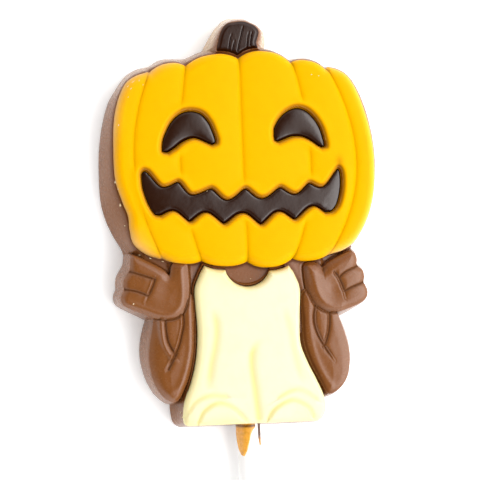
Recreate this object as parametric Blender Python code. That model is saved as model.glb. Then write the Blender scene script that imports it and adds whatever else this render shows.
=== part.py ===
"""Moulded chocolate lollipop: a robed figure with a carved pumpkin for a head, on a round stick.

The lollipop lies on its flat back, relief side up. X runs across the figure, +Y towards the stem
and -Y along the stick, Z up from the table. Every size below is in millimetres and becomes metres
where a mesh is made. The figure is drawn with x = 0 on its middle groove and y = 0 at the lower
edge of the chocolate, and is shifted at the end so that the origin is under the middle of it all.
"""

from functools import partial

import bmesh
import bpy
import numpy as np

MM = 0.001
GAP = 0.3
CLEAR_ABOVE = 5.0
SHARP_ANGLE = 35.0

# Heights above the table
PUMPKIN_EDGE = 8.8
PUMPKIN_DOME = 1.7
LOBE_SWELL = 0.9
PUMPKIN_SEAT = 6.6
FACE_SEAT = 8.6
FACE_TOP = 10.2
STEM_EDGE = 7.2
STEM_DOME = 1.7
STEM_SEAT = 5.4
ROBE_EDGE = 7.7
ROBE_DOME = 2.2
ROBE_SEAT = 6.4
CHEST = 7.2
HAND_EDGE = 7.8
HAND_DOME = 1.6
SLEEVE_EDGE = 7.2
SLEEVE_DOME = 1.6

# How far the mould's sloping walls spread from the front edge down to the table
HEAD_SPREAD = 3.0
HEAD_TOP_SPREAD = 2.3
BODY_SPREAD = 2.1
HAND_SPREAD = 1.7
LOW_SPREAD = 1.3
SHELL_SPREAD = 0.3

# Pumpkin: five grooves, each by its top, middle and foot, between two bowed sides
GROOVES = (
    ((-19.7, 78.2), (-23.8, 59.5), (-18.9, 38.2)),
    ((-11.6, 79.5), (-13.9, 58.0), (-10.0, 37.0)),
    ((0.0, 80.9), (-0.2, 58.0), (0.0, 36.4)),
    ((11.6, 79.8), (14.8, 57.5), (10.1, 36.6)),
    ((19.6, 78.1), (25.1, 57.5), (18.4, 37.2)),
)
LEFT_SIDE = ((-19.7, 78.2), (-25.0, 74.3), (-27.8, 60.5), (-25.2, 46.3), (-18.9, 38.2))
RIGHT_SIDE = ((19.6, 78.1), (25.6, 73.8), (29.7, 58.5), (26.6, 43.5), (18.4, 37.2))
LOBE_TOPS = (0.0, 1.3, 1.7, 2.1, 1.2, 0.0)
LOBE_FEET = (0.0, 0.9, 1.1, 1.6, 0.9, 0.0)
PUMPKIN_CENTRE = (0.8, 58.0)
LOBE_COLUMNS = 6
LOBE_ARC = 2.4
LOBE_ROUND = 2.2
DOME_FLAT = 4.0
PUMPKIN_ROWS = 19
PUMPKIN_ENDS = 5.0

# Eyes: crescents between an outer and an inner tip
EYES = {
    "eye_left": ((-17.6, 61.4), (-5.9, 62.9)),
    "eye_right": ((18.2, 61.3), (6.8, 63.2)),
}
EYE_RISE = 7.2
EYE_HOLLOW = 1.7
EYE_NARROW = 0.78
EYE_DROP = 0.8
EYE_STEPS = 16

# Mouth: two wavy lips; each is a shallow bowl, a slight tilt and a row of waves
MOUTH_LEFT = -22.1
MOUTH_RIGHT = 20.9
JAW_LEFT = -20.2
JAW_RIGHT = 19.2
UPPER_LIP = {"height": 51.0, "bowl": 0.0088, "tilt": -0.026, "wave": 1.2, "pitch": 7.3, "crest": 0.2}
LOWER_LIP = {"height": 45.9, "bowl": 0.0045, "tilt": -0.02, "wave": 1.3, "pitch": 7.6, "crest": -0.7}
MOUTH_STEPS = 44
MOUTH_SIDE_BOW = 0.9
FACE_BEVEL = 0.5
POCKET_DEPTH = 1.0
POCKET_FLARE = 1.1

# Stem: two sides from its tip down to its splayed foot
STEM_LEFT = ((-1.4, 89.0), (-2.7, 87.4), (-3.6, 85.4), (-4.0, 83.9), (-5.4, 83.1))
STEM_RIGHT = ((3.2, 88.8), (4.9, 87.1), (4.2, 85.2), (4.3, 83.9), (5.4, 83.7))
STEM_CROWN = 0.7
STEM_CLEAR = 0.75
STEM_CENTRE = (0.5, 85.6)
STEM_SPREAD = 2.1
STEM_ROWS = 10
STEM_COLUMNS = 11
STEM_ROUND = 3.0
STEM_FLUTES = (
    ((-1.4, 86.6), (-2.2, 83.6)),
    ((0.9, 87.6), (-0.2, 83.4)),
    ((2.9, 86.9), (1.9, 83.6)),
)
FLUTE_RADIUS = 0.4

# Robe: two draped sides, a round bib cut and two toe bumps
ROBE_LEFT = (
    (-10.0, 36.2), (-11.8, 31.0), (-11.6, 25.0), (-11.5, 18.6),
    (-13.2, 11.0), (-15.2, 5.0), (-15.0, 1.3),
)
ROBE_RIGHT = (
    (9.6, 35.6), (11.6, 30.0), (11.1, 24.0), (11.4, 17.8),
    (13.6, 11.5), (16.1, 4.6), (15.4, 0.4),
)
ROBE_CLEAR = 0.85
BIB_CENTRE = (0.2, 36.9)
BIB_RADIUS = 5.9
ROBE_CENTRE = (0.3, 17.0)
ROBE_COLUMNS = 22
ROBE_ROWS = 27
ROBE_ROUND = 3.5
ROBE_ENDS = 12.0
FOLDS = (
    {"line": ((1.6, 21.0), (0.2, 14.0), (0.6, 8.0), (1.2, 0.0)), "depth": 0.55, "width": 1.3},
    {"line": ((-8.2, 27.0), (-7.2, 21.0), (-8.4, 16.0), (-9.8, 9.5)), "depth": 0.4, "width": 1.2},
    {"line": ((7.6, 27.0), (8.8, 20.0), (9.6, 13.5), (11.0, 8.0)), "depth": 0.3, "width": 1.2},
)
TOES = ({"centre": (-8.0, 1.2), "radius": 4.4}, {"centre": (8.6, 0.6), "radius": 4.6})
TOE_HEIGHT = 0.55

# Hands and sleeves: outlines round a centre, counter-clockwise from above
HAND_LEFT = (
    (-13.4, 36.2), (-16.3, 36.4), (-17.1, 34.7), (-19.4, 36.6), (-23.3, 38.0), (-26.6, 36.8),
    (-27.0, 32.5), (-26.9, 28.8), (-23.6, 27.5), (-19.6, 25.3), (-16.6, 24.8), (-14.0, 26.5),
    (-12.9, 30.2),
)
HAND_RIGHT = (
    (12.8, 34.6), (13.2, 29.4), (15.0, 25.9), (18.0, 24.3), (22.0, 25.2), (25.8, 26.6), (26.4, 28.4),
    (25.2, 30.2), (25.6, 32.4), (23.8, 34.0), (24.2, 36.2), (22.0, 36.9), (18.8, 35.4), (16.7, 33.6),
    (15.4, 35.3),
)
SLEEVE_LEFT = (
    (-10.8, 28.5), (-16.0, 29.5), (-20.9, 27.0), (-21.7, 20.0), (-21.4, 13.6), (-19.4, 9.3), (-16.9, 7.3),
    (-14.2, 8.4), (-11.0, 14.0), (-10.4, 21.0),
)
SLEEVE_RIGHT = (
    (10.6, 28.5), (10.2, 19.5), (11.8, 13.0), (14.6, 7.4), (16.8, 5.6), (19.4, 7.6), (21.5, 11.0),
    (22.1, 14.8), (21.4, 20.2), (20.4, 26.5), (15.5, 28.8),
)
HAND_CENTRES = {"left": (-20.0, 31.2), "right": (19.4, 30.2)}
SLEEVE_CENTRES = {"left": (-16.6, 18.0), "right": (16.2, 17.2)}
CHEST_OUTLINE = (
    (-17.5, 39.0), (-17.5, 24.0), (-12.0, 20.0), (12.0, 20.0), (17.5, 24.0), (17.5, 38.5), (0.0, 42.0),
)
OUTLINE_STEPS = 44
RINGS = 6

# Creases pressed into hands and sleeves
CREASES = (
    {"on": "hand", "line": ((-28.0, 35.8), (-23.2, 34.9), (-20.8, 33.2), (-19.0, 35.0))},
    {"on": "hand", "line": ((-20.8, 33.2), (-21.3, 31.2), (-22.2, 28.6))},
    {"on": "hand", "line": ((-28.0, 31.5), (-24.4, 31.3), (-21.6, 30.3))},
    {"on": "hand", "line": ((24.6, 34.0), (20.6, 31.8), (18.2, 33.4))},
    {"on": "hand", "line": ((20.6, 31.8), (21.1, 29.9), (21.8, 27.0))},
    {"on": "hand", "line": ((26.4, 30.3), (23.6, 29.6), (21.2, 29.3))},
    {"on": "sleeve", "line": ((-18.1, 24.4), (-18.2, 21.0), (-16.5, 16.9))},
    {"on": "sleeve", "line": ((-14.4, 25.4), (-14.7, 22.2), (-16.2, 18.0), (-18.4, 14.0))},
    {"on": "sleeve", "line": ((14.8, 25.6), (14.5, 21.8), (16.5, 16.8), (18.0, 13.6))},
    {"on": "sleeve", "line": ((17.9, 23.8), (17.7, 20.6), (16.5, 16.8))},
)
CREASE_RADIUS = 0.55
CREASE_SINK = 0.15
CREASE_LEVEL = 0.8
ROD_SIDES = 6

# Stick: a round rod in a blind bore
STICK_RADIUS = 2.5
STICK_HEIGHT = 3.2
STICK_X = -0.6
STICK_LENGTH = 150.0
STICK_INSIDE = 45.0
STICK_SIDES = 28
STICK_EDGE = 0.4
BORE_ROOM = 1.0

# Colour, roughness and metallic value of each chocolate and of the stick
YELLOW = ((0.94, 0.55, 0.01, 1.0), 0.32, 0.0)
DARK = ((0.045, 0.026, 0.024, 1.0), 0.34, 0.0)
MILK = ((0.26, 0.105, 0.045, 1.0), 0.38, 0.0)
CREAM = ((0.95, 0.88, 0.62, 1.0), 0.36, 0.0)
WHITE = ((0.93, 0.93, 0.91, 1.0), 0.3, 0.0)


def clear_scene():
    """Remove every object that the file opened with."""
    for item in list(bpy.data.objects):
        bpy.data.objects.remove(item, do_unlink=True)


def finish_of(name, values):
    """Make a plain Principled material."""
    material = bpy.data.materials.new(name)
    material.use_nodes = True
    shader = material.node_tree.nodes["Principled BSDF"]
    shader.inputs["Base Color"].default_value = values[0]
    shader.inputs["Roughness"].default_value = values[1]
    shader.inputs["Metallic"].default_value = values[2]
    return material


def smooth(points, count, closed=False):
    """Sample a Catmull-Rom curve through the points at equal steps of its length."""
    p = np.asarray(points, float)
    if closed:
        p = np.vstack([p[-1], p, p[0], p[1]])
    else:
        p = np.vstack([2 * p[0] - p[1], p, 2 * p[-1] - p[-2]])
    a, b, c, d = p[:-3], p[1:-2], p[2:-1], p[3:]
    t = np.linspace(0, 1, 12, endpoint=False)[:, None, None]
    square, cube = a - 2.5 * b + 2 * c - 0.5 * d, (3 * (b - c) + d - a) / 2
    spans = b + t * (c - a) / 2 + t**2 * square + t**3 * cube
    fine = np.vstack([spans.transpose(1, 0, 2).reshape(-1, 2), p[-2]])
    length = np.concatenate([[0.0], np.cumsum(np.hypot(*np.diff(fine, axis=0).T))])
    at = np.linspace(0, length[-1], count + 1)[:-1] if closed else np.linspace(0, length[-1], count)
    return np.column_stack([np.interp(at, length, fine[:, axis]) for axis in (0, 1)])


def spread(loop, centre, side, low=None, high=None):
    """Move a loop outwards from a centre, at its low and high ends by amounts of their own."""
    away = loop - np.asarray(centre)
    away /= np.linalg.norm(away, axis=1)[:, None]
    end = np.where(away[:, 1:] < 0, side if low is None else low, side if high is None else high)
    return loop + away * (side + (end - side) * away[:, 1:] ** 2)


def at_height(loop, z):
    """Give a flat loop its height."""
    return np.column_stack([loop, np.broadcast_to(z, len(loop))])


def groove(top, middle, foot, rows):
    """Bow of one groove: two parabolas that meet upright at its middle."""
    t = np.linspace(-1, 1, rows)[:, None]
    end = np.where(t < 0, top, foot)
    return np.asarray(middle) + (end - np.asarray(middle)) * np.hstack([t**2, abs(t)])


def pumpkin_sheet():
    """Grid of the pumpkin's lobes, row by row from the top, with each point's height.

    Between two grooves a point is a straight mix of both, pushed out into an arc at the top and
    the foot. Its height is a flat dome plus a round swell on each lobe.
    """
    lines = [smooth(LEFT_SIDE, PUMPKIN_ROWS)]
    lines += [groove(*points, PUMPKIN_ROWS) for points in GROOVES]
    lines += [smooth(RIGHT_SIDE, PUMPKIN_ROWS)]
    v = np.linspace(0, 1, PUMPKIN_ROWS)[:, None]
    u = np.arange(LOBE_COLUMNS) / LOBE_COLUMNS
    arc = 1 - abs(2 * u - 1) ** LOBE_ARC
    columns = []
    for left, right, top, foot in zip(lines, lines[1:], LOBE_TOPS, LOBE_FEET):
        x = left[:, :1] * (1 - u) + right[:, :1] * u
        y = left[:, 1:] * (1 - u) + right[:, 1:] * u + arc * (top * (1 - v) ** 3 - foot * v**3)
        columns.append(np.stack([x, y], axis=2))
    columns.append(lines[-1][:, None, :])
    flat = np.concatenate(columns, axis=1)
    across = np.arange(flat.shape[1]) / LOBE_COLUMNS
    half = len(LOBE_TOPS) / 2
    dome = PUMPKIN_DOME * (1 - abs(across / half - 1) ** DOME_FLAT)
    swell = LOBE_SWELL * (1 - abs(2 * (across % 1) - 1) ** LOBE_ROUND)
    z = PUMPKIN_EDGE + (1 - abs(2 * v - 1) ** PUMPKIN_ENDS) * (dome + swell)
    return np.dstack([flat, z])


def patch(left, right, rows, columns, top_line, foot_line):
    """Grid between two sides, bent so that its first and last rows follow the given lines."""
    left, right = smooth(left, rows), smooth(right, rows)
    u = np.linspace(0, 1, columns)
    v = np.linspace(0, 1, rows)[:, None]
    x = left[:, :1] * (1 - u) + right[:, :1] * u
    y = left[:, 1:] * (1 - u) + right[:, 1:] * u
    inside = (u > 0) & (u < 1)
    y = y + np.where(inside, top_line(x[0]) - y[0], 0) * (1 - v) ** 3
    y = y + np.where(inside, foot_line(x[-1]) - y[-1], 0) * v**3
    return x, y, u, v


def rim(sheet):
    """Edge of a grid, counter-clockwise from above."""
    return np.concatenate([sheet[:-1, 0], sheet[-1, :-1], sheet[:0:-1, -1], sheet[0, :0:-1]])


def stem_sheet(pumpkin_top):
    """Stem's grid: its foot keeps clear of the pumpkin's lobes and its tip is a low arc."""
    def crown(x):
        ends = STEM_LEFT[0], STEM_RIGHT[0]
        t = (x - ends[0][0]) / (ends[1][0] - ends[0][0])
        return ends[0][1] * (1 - t) + ends[1][1] * t + STEM_CROWN * 4 * t * (1 - t)

    def foot(x):
        return np.interp(x, pumpkin_top[:, 0], pumpkin_top[:, 1]) + STEM_CLEAR

    x, y, u, v = patch(STEM_LEFT, STEM_RIGHT, STEM_ROWS, STEM_COLUMNS, crown, foot)
    z = STEM_EDGE + STEM_DOME * (1 - abs(2 * u - 1) ** STEM_ROUND) * (1 - abs(2 * v - 1) ** DOME_FLAT)
    return np.dstack([x, y, z])


def line_distance(x, y, line):
    """Distance from each point to a fold's line, and how far down the line its height is, 0 to 1."""
    points = smooth(line, 30)
    order = np.argsort(points[:, 1])
    line_x = np.interp(y, points[order, 1], points[order, 0])
    low, high = points[order[0], 1], points[order[-1], 1]
    return abs(x - line_x), np.clip((high - y) / (high - low), 0, 1)


def robe_sheet(pumpkin_foot):
    """Robe's grid: it hangs from under the pumpkin, round the bib, to a straight hem."""
    def neck(x):
        shoulder = np.interp(x, pumpkin_foot[:, 0], pumpkin_foot[:, 1]) - ROBE_CLEAR
        reach = np.clip(BIB_RADIUS**2 - (x - BIB_CENTRE[0]) ** 2, 0, None)
        return np.where(reach > 0, np.minimum(shoulder, BIB_CENTRE[1] - np.sqrt(reach)), shoulder)

    def hem(x):
        return np.interp(x, (ROBE_LEFT[-1][0], ROBE_RIGHT[-1][0]), (ROBE_LEFT[-1][1], ROBE_RIGHT[-1][1]))

    x, y, u, v = patch(ROBE_LEFT, ROBE_RIGHT, ROBE_ROWS, ROBE_COLUMNS, neck, hem)
    body = (1 - abs(2 * u - 1) ** ROBE_ROUND) * (1 - (1 - v) ** ROBE_ENDS) * (1 - v**ROBE_ENDS)
    relief = np.zeros_like(x)
    for fold in FOLDS:
        away, down = line_distance(x, y, fold["line"])
        relief -= fold["depth"] * np.sin(np.pi * down) ** 0.5 * np.exp(-((away / fold["width"]) ** 2))
    for toe in TOES:
        reach = np.hypot(x - toe["centre"][0], y - toe["centre"][1]) / toe["radius"]
        relief += TOE_HEIGHT * np.clip(1 - reach**4, 0, 1)
    return np.dstack([x, y, ROBE_EDGE + body * (ROBE_DOME + relief)])


def dome_rings(outline, centre, edge, dome):
    """Rings from an outline in to a centre, rounded over near the edge."""
    shares = np.linspace(1, 0, RINGS, endpoint=False)
    loop = smooth(outline, OUTLINE_STEPS, closed=True)
    centre = np.asarray(centre)
    return [at_height(centre + (loop - centre) * share, edge + dome * (1 - share**3)) for share in shares]


def crescent(outer, inner, amount=0.0):
    """Eye's outline, drawn in by an amount: half an ellipse over a narrower and lower hollow."""
    outer, inner = np.asarray(outer), np.asarray(inner)
    middle, half = (outer + inner) / 2, (inner - outer) / 2
    share = amount / np.linalg.norm(half)
    t = np.linspace(0, np.pi, EYE_STEPS)[:, None]
    top = middle - half * (1 - share) * np.cos(t) + [0, EYE_RISE - amount] * np.sin(t)
    t = t[::-1]
    hollow = middle - half * (EYE_NARROW + share / 2) * np.cos(t) + [0, EYE_HOLLOW] * np.sin(t)
    loop = np.vstack([top, hollow - [0, EYE_DROP - amount]])
    return loop[::-1] if half[0] > 0 else loop


def lip(values, x):
    """Height of a wavy lip."""
    wave = values["wave"] * np.cos(2 * np.pi * (x - values["crest"]) / values["pitch"])
    return values["height"] + values["bowl"] * x**2 + values["tilt"] * x + wave


def grin(amount=0.0):
    """Mouth's outline, drawn in by an amount: lower lip, right side, upper lip, left side."""
    low_x = np.linspace(JAW_LEFT, JAW_RIGHT, MOUTH_STEPS)
    high_x = np.linspace(MOUTH_RIGHT, MOUTH_LEFT, MOUTH_STEPS)
    low = np.column_stack([low_x, lip(LOWER_LIP, low_x)])
    high = np.column_stack([high_x, lip(UPPER_LIP, high_x)])
    t = np.linspace(0, 1, 7)[1:-1, None]
    bow = MOUTH_SIDE_BOW * 4 * t * (1 - t)
    right = low[-1] * (1 - t) + high[0] * t + np.hstack([bow, 0 * bow])
    left = high[-1] * (1 - t) + low[0] * t - np.hstack([bow, 0 * bow])
    loop = np.vstack([low, right, high, left])
    along = np.roll(loop, -1, axis=0) - np.roll(loop, 1, axis=0)
    along /= np.linalg.norm(along, axis=1)[:, None]
    return loop + amount * np.column_stack([-along[:, 1], along[:, 0]])


def make_object(name, points, faces, material=None):
    """Make an object from points in millimetres, with doubled points merged."""
    mesh = bpy.data.meshes.new(name)
    work = bmesh.new()
    corners = [work.verts.new(point) for point in np.asarray(points) * MM]
    for face in faces:
        work.faces.new([corners[index] for index in face])
    bmesh.ops.remove_doubles(work, verts=work.verts, dist=0.01 * MM)
    bmesh.ops.dissolve_degenerate(work, edges=work.edges, dist=0.005 * MM)
    work.to_mesh(mesh)
    work.free()
    mesh.shade_smooth()
    mesh.set_sharp_from_angle(angle=np.radians(SHARP_ANGLE))
    item = bpy.data.objects.new(name, mesh)
    bpy.context.scene.collection.objects.link(item)
    if material:
        mesh.materials.append(material)
    return item


def wall_faces(first, second, count):
    """Quads between an upper and a lower loop of a closed wall."""
    around = np.arange(count)
    after = (around + 1) % count
    return np.column_stack([first + around, second + around, second + after, first + after]).tolist()


def stack(name, loops, material=None):
    """Close a stack of loops, top first, with a flat face at each end."""
    count = len(loops[0])
    faces = []
    for level in range(len(loops) - 1):
        faces += wall_faces(level * count, (level + 1) * count, count)
    faces.append(list(range(count)))
    faces.append(list(range(len(loops) * count - 1, (len(loops) - 1) * count - 1, -1)))
    return make_object(name, np.vstack(loops), faces, material)


def shell(name, sheet, lower_loops, material=None):
    """Close a grid with wall loops below its rim and a flat underside."""
    rows, columns = sheet.shape[:2]
    index = np.arange(rows * columns).reshape(rows, columns)
    corners = (index[:-1, :-1], index[1:, :-1], index[1:, 1:], index[:-1, 1:])
    faces = np.dstack(corners).reshape(-1, 4).tolist()
    edge = rim(index)
    count = len(edge)
    points = [sheet.reshape(-1, 3)] + lower_loops
    start = rows * columns
    after = np.roll(np.arange(count), -1)
    first = np.column_stack([edge, start + np.arange(count), start + after, edge[after]])
    faces += first.tolist()
    for level in range(len(lower_loops) - 1):
        faces += wall_faces(start + level * count, start + (level + 1) * count, count)
    last = start + (len(lower_loops) - 1) * count
    faces.append(list(range(last + count - 1, last - 1, -1)))
    return make_object(name, np.vstack(points), faces, material)


def rod(name, line, height, radius):
    """Thin rod along a line, its middle at the given height."""
    path = smooth(line, 4 * (len(line) - 1) + 1)
    along = np.gradient(path, axis=0)
    along /= np.linalg.norm(along, axis=1)[:, None]
    turn = np.arange(ROD_SIDES) * 2 * np.pi / ROD_SIDES
    across = np.column_stack([along[:, 1], -along[:, 0]])
    loops = []
    for point, sideways in zip(path, across):
        flat = point + radius * np.cos(turn)[:, None] * sideways
        loops.append(np.column_stack([flat, height + radius * np.sin(turn)]))
    return stack(name, loops)


def combine(target, others, operation):
    """Apply one Boolean of a collection of objects to the target, then remove those objects."""
    group = bpy.data.collections.new(operation)
    bpy.context.scene.collection.children.link(group)
    for item in others:
        group.objects.link(item)
    step = target.modifiers.new(operation, "BOOLEAN")
    step.operation = operation
    step.operand_type = "COLLECTION"
    step.collection = group
    bpy.context.view_layer.update()
    bpy.context.view_layer.objects.active = target
    with bpy.context.temp_override(object=target, active_object=target, selected_objects=[target]):
        bpy.ops.object.modifier_apply(modifier=step.name)
    for item in others:
        bpy.data.objects.remove(item, do_unlink=True)
    bpy.data.collections.remove(group)


def milk_body(pumpkin, stem, robe, material):
    """Milk chocolate back: sloping walls, hands and sleeves, with a seat for each coloured layer."""
    def base(name, loop, centre, edge, top, *amounts):
        part_way = [amount * (edge - top) / edge for amount in amounts]
        upper, foot = spread(loop, centre, *part_way), spread(loop, centre, *amounts)
        return stack(name, [at_height(upper, top), at_height(foot, 0)])

    head, stalk, skirt = rim(pumpkin)[:, :2], rim(stem)[:, :2], rim(robe)[:, :2]
    head_spreads = HEAD_SPREAD, BODY_SPREAD, HEAD_TOP_SPREAD
    body = base("milk_body", head, PUMPKIN_CENTRE, PUMPKIN_EDGE, PUMPKIN_SEAT + GAP, *head_spreads)
    parts = [
        base("stem_base", stalk, STEM_CENTRE, STEM_EDGE, STEM_SEAT + GAP, STEM_SPREAD),
        base("robe_base", skirt, ROBE_CENTRE, ROBE_EDGE, ROBE_SEAT + GAP, BODY_SPREAD, LOW_SPREAD),
        stack("chest", [at_height(np.array(CHEST_OUTLINE), CHEST), at_height(np.array(CHEST_OUTLINE), 0)]),
    ]
    limbs = (
        ("hand_left", HAND_LEFT, HAND_CENTRES["left"], HAND_EDGE, HAND_DOME, HAND_SPREAD),
        ("hand_right", HAND_RIGHT, HAND_CENTRES["right"], HAND_EDGE, HAND_DOME, HAND_SPREAD),
        ("sleeve_left", SLEEVE_LEFT, SLEEVE_CENTRES["left"], SLEEVE_EDGE, SLEEVE_DOME, BODY_SPREAD),
        ("sleeve_right", SLEEVE_RIGHT, SLEEVE_CENTRES["right"], SLEEVE_EDGE, SLEEVE_DOME, BODY_SPREAD),
    )
    for name, outline, centre, edge, dome, wall in limbs:
        rings = dome_rings(outline, centre, edge, dome)
        foot = at_height(spread(rings[0][:, :2], centre, wall, BODY_SPREAD), 0)
        parts.append(stack(name, rings[::-1] + [foot]))
    combine(body, parts, "UNION")

    above = PUMPKIN_EDGE + PUMPKIN_DOME + CLEAR_ABOVE
    room = SHELL_SPREAD + GAP
    seats = []
    for name, loop, centre, seat in (("head_seat", head, PUMPKIN_CENTRE, PUMPKIN_SEAT),
                                     ("stem_seat", stalk, STEM_CENTRE, STEM_SEAT),
                                     ("robe_seat", skirt, ROBE_CENTRE, ROBE_SEAT)):
        wide = spread(loop, centre, room)
        seats.append(stack(name, [at_height(wide, above), at_height(wide, seat)]))
    tops = {
        "hand": HAND_EDGE + HAND_DOME * CREASE_LEVEL,
        "sleeve": SLEEVE_EDGE + SLEEVE_DOME * CREASE_LEVEL,
    }
    for number, crease in enumerate(CREASES):
        height = tops[crease["on"]] - CREASE_SINK + CREASE_RADIUS / 2
        seats.append(rod(f"crease_{number}", crease["line"], height, CREASE_RADIUS))
    seats.append(stick_rod("bore", STICK_RADIUS + GAP, -CLEAR_ABOVE, STICK_INSIDE + BORE_ROOM))
    combine(body, seats, "DIFFERENCE")
    body.data.materials.clear()
    body.data.materials.append(material)
    return body


def stick_rod(name, radius, start, end, edge=0.0, material=None):
    """Round rod along Y with softened ends."""
    turn = np.arange(STICK_SIDES) * 2 * np.pi / STICK_SIDES
    ends = ((start, radius - edge), (start + edge, radius), (end - edge, radius), (end, radius - edge))
    loops = []
    for y, size in ends if edge else (ends[0], ends[-1]):
        loops.append(np.column_stack([
            STICK_X + size * np.cos(turn),
            np.full(STICK_SIDES, y),
            STICK_HEIGHT + size * np.sin(turn),
        ]))
    return stack(name, loops, material)


def face_piece(name, outline, material):
    """Dark inlay of the face: a flat top with a bevelled rim. The outline is a function."""
    levels = (
        (FACE_BEVEL, FACE_TOP),
        (FACE_BEVEL / 3, FACE_TOP - FACE_BEVEL / 5),
        (0.0, FACE_TOP - FACE_BEVEL),
        (0.0, FACE_SEAT + GAP),
    )
    return stack(name, [at_height(outline(amount), z) for amount, z in levels], material)


def face_seat(name, outline):
    """Cutter for an inlay's pocket, wider above so that the pumpkin rolls down to the inlay."""
    crest = PUMPKIN_EDGE + PUMPKIN_DOME + LOBE_SWELL
    levels = (
        (POCKET_FLARE, crest + CLEAR_ABOVE),
        (POCKET_FLARE, crest),
        (GAP, FACE_TOP - POCKET_DEPTH),
        (GAP, FACE_SEAT),
    )
    return stack(name, [at_height(outline(-amount), z) for amount, z in levels])


def coloured_layer(name, sheet, centre, underside, material):
    """Coloured chocolate layer that sits on its seat in the milk chocolate."""
    edge = rim(sheet)
    lower = spread(edge[:, :2], centre, SHELL_SPREAD)
    return shell(name, sheet, [at_height(lower, underside)], material)


def main():
    """Build the lollipop and shift it so that the origin is under the middle of its box."""
    clear_scene()
    milk = finish_of("milk_chocolate", MILK)
    yellow = finish_of("yellow_chocolate", YELLOW)
    dark = finish_of("dark_chocolate", DARK)
    cream = finish_of("cream_chocolate", CREAM)
    white = finish_of("white_stick", WHITE)

    pumpkin = pumpkin_sheet()
    stem = stem_sheet(pumpkin[0, :, :2])
    robe = robe_sheet(pumpkin[-1, :, :2])

    head = coloured_layer("pumpkin", pumpkin, PUMPKIN_CENTRE, PUMPKIN_SEAT + GAP, yellow)
    faces = {name: partial(crescent, *tips) for name, tips in EYES.items()}
    faces["mouth"] = grin
    seats = [face_seat(f"{name}_seat", outline) for name, outline in faces.items()]
    combine(head, seats, "DIFFERENCE")
    for name, outline in faces.items():
        face_piece(name, outline, dark)

    stalk = coloured_layer("stem", stem, STEM_CENTRE, STEM_SEAT + GAP, dark)
    flute_height = STEM_EDGE + STEM_DOME
    flutes = [
        rod(f"flute_{number}", line, flute_height, FLUTE_RADIUS)
        for number, line in enumerate(STEM_FLUTES)
    ]
    combine(stalk, flutes, "DIFFERENCE")
    coloured_layer("robe", robe, ROBE_CENTRE, ROBE_SEAT + GAP, cream)
    milk_body(pumpkin, stem, robe, milk)
    stick_rod("stick", STICK_RADIUS, STICK_INSIDE - STICK_LENGTH, STICK_INSIDE, STICK_EDGE, white)

    corners = np.array([v.co for item in bpy.context.scene.objects for v in item.data.vertices])
    middle = (corners.min(axis=0) + corners.max(axis=0)) / 2
    for item in bpy.context.scene.objects:
        for vertex in item.data.vertices:
            vertex.co.x -= middle[0]
            vertex.co.y -= middle[1]


main()
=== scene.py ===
"""Moulded chocolate lollipop: a robed figure with a carved pumpkin for a head, on a round stick.

The file is laid out as an add-on. Each group of pieces has an operator, and the panel in the 3D
view's sidebar lists them with the sizes and colours that they use. Outlines are in millimetres in
the figure's own frame: x = 0 on the pumpkin's middle groove, y = 0 at the lower edge of the
chocolate, z = 0 on the table. new_piece() shifts them on to the frame's part, in metres.
"""

from math import cos, pi, radians, sin
from types import SimpleNamespace

import bpy
import numpy as np
from bpy.props import FloatProperty, FloatVectorProperty, PointerProperty
from mathutils import Matrix, Vector


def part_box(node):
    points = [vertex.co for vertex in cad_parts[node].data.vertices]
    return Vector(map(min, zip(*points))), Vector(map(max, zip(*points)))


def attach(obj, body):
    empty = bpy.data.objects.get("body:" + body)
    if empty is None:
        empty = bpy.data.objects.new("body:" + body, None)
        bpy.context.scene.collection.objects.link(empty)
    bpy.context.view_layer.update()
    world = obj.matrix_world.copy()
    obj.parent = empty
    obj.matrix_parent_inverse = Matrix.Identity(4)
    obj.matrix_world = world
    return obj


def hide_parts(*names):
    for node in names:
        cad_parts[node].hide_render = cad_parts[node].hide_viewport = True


bl_info = {
    "name": "Chocolate Lollipop",
    "version": (1, 0, 0),
    "blender": (4, 5, 0),
    "location": "3D View > Sidebar > Lollipop",
    "description": "Builds a moulded chocolate lollipop, piece by piece",
    "category": "Add Mesh",
}

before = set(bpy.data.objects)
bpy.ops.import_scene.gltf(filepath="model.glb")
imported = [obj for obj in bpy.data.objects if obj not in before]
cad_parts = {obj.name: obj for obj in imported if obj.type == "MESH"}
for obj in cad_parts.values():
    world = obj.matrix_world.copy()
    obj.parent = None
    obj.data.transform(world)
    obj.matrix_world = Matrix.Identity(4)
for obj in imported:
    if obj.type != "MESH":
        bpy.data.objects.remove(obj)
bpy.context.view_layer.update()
MM = 0.001
SHARP_FROM = 60
CURVE_STEPS = 24

# Stick: where the figure's frame meets the part's frame
STICK_X = -0.6
STICK_START = -105.0
STICK_END = 45.0
STICK_EDGE = 0.35
STICK_AROUND = 96
STICK_ALONG = 60
STICK_CURVE = 7
STICK_LOW, STICK_HIGH = (np.array(corner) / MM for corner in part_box("stick"))
STICK_HEIGHT = (STICK_LOW[2] + STICK_HIGH[2]) / 2
STICK_RADIUS = (STICK_HIGH[0] - STICK_LOW[0]) / 2
SHIFT = np.array([
    (STICK_LOW[0] + STICK_HIGH[0]) / 2 - STICK_X,
    STICK_LOW[1] - STICK_START,
    0.0,
])

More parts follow.
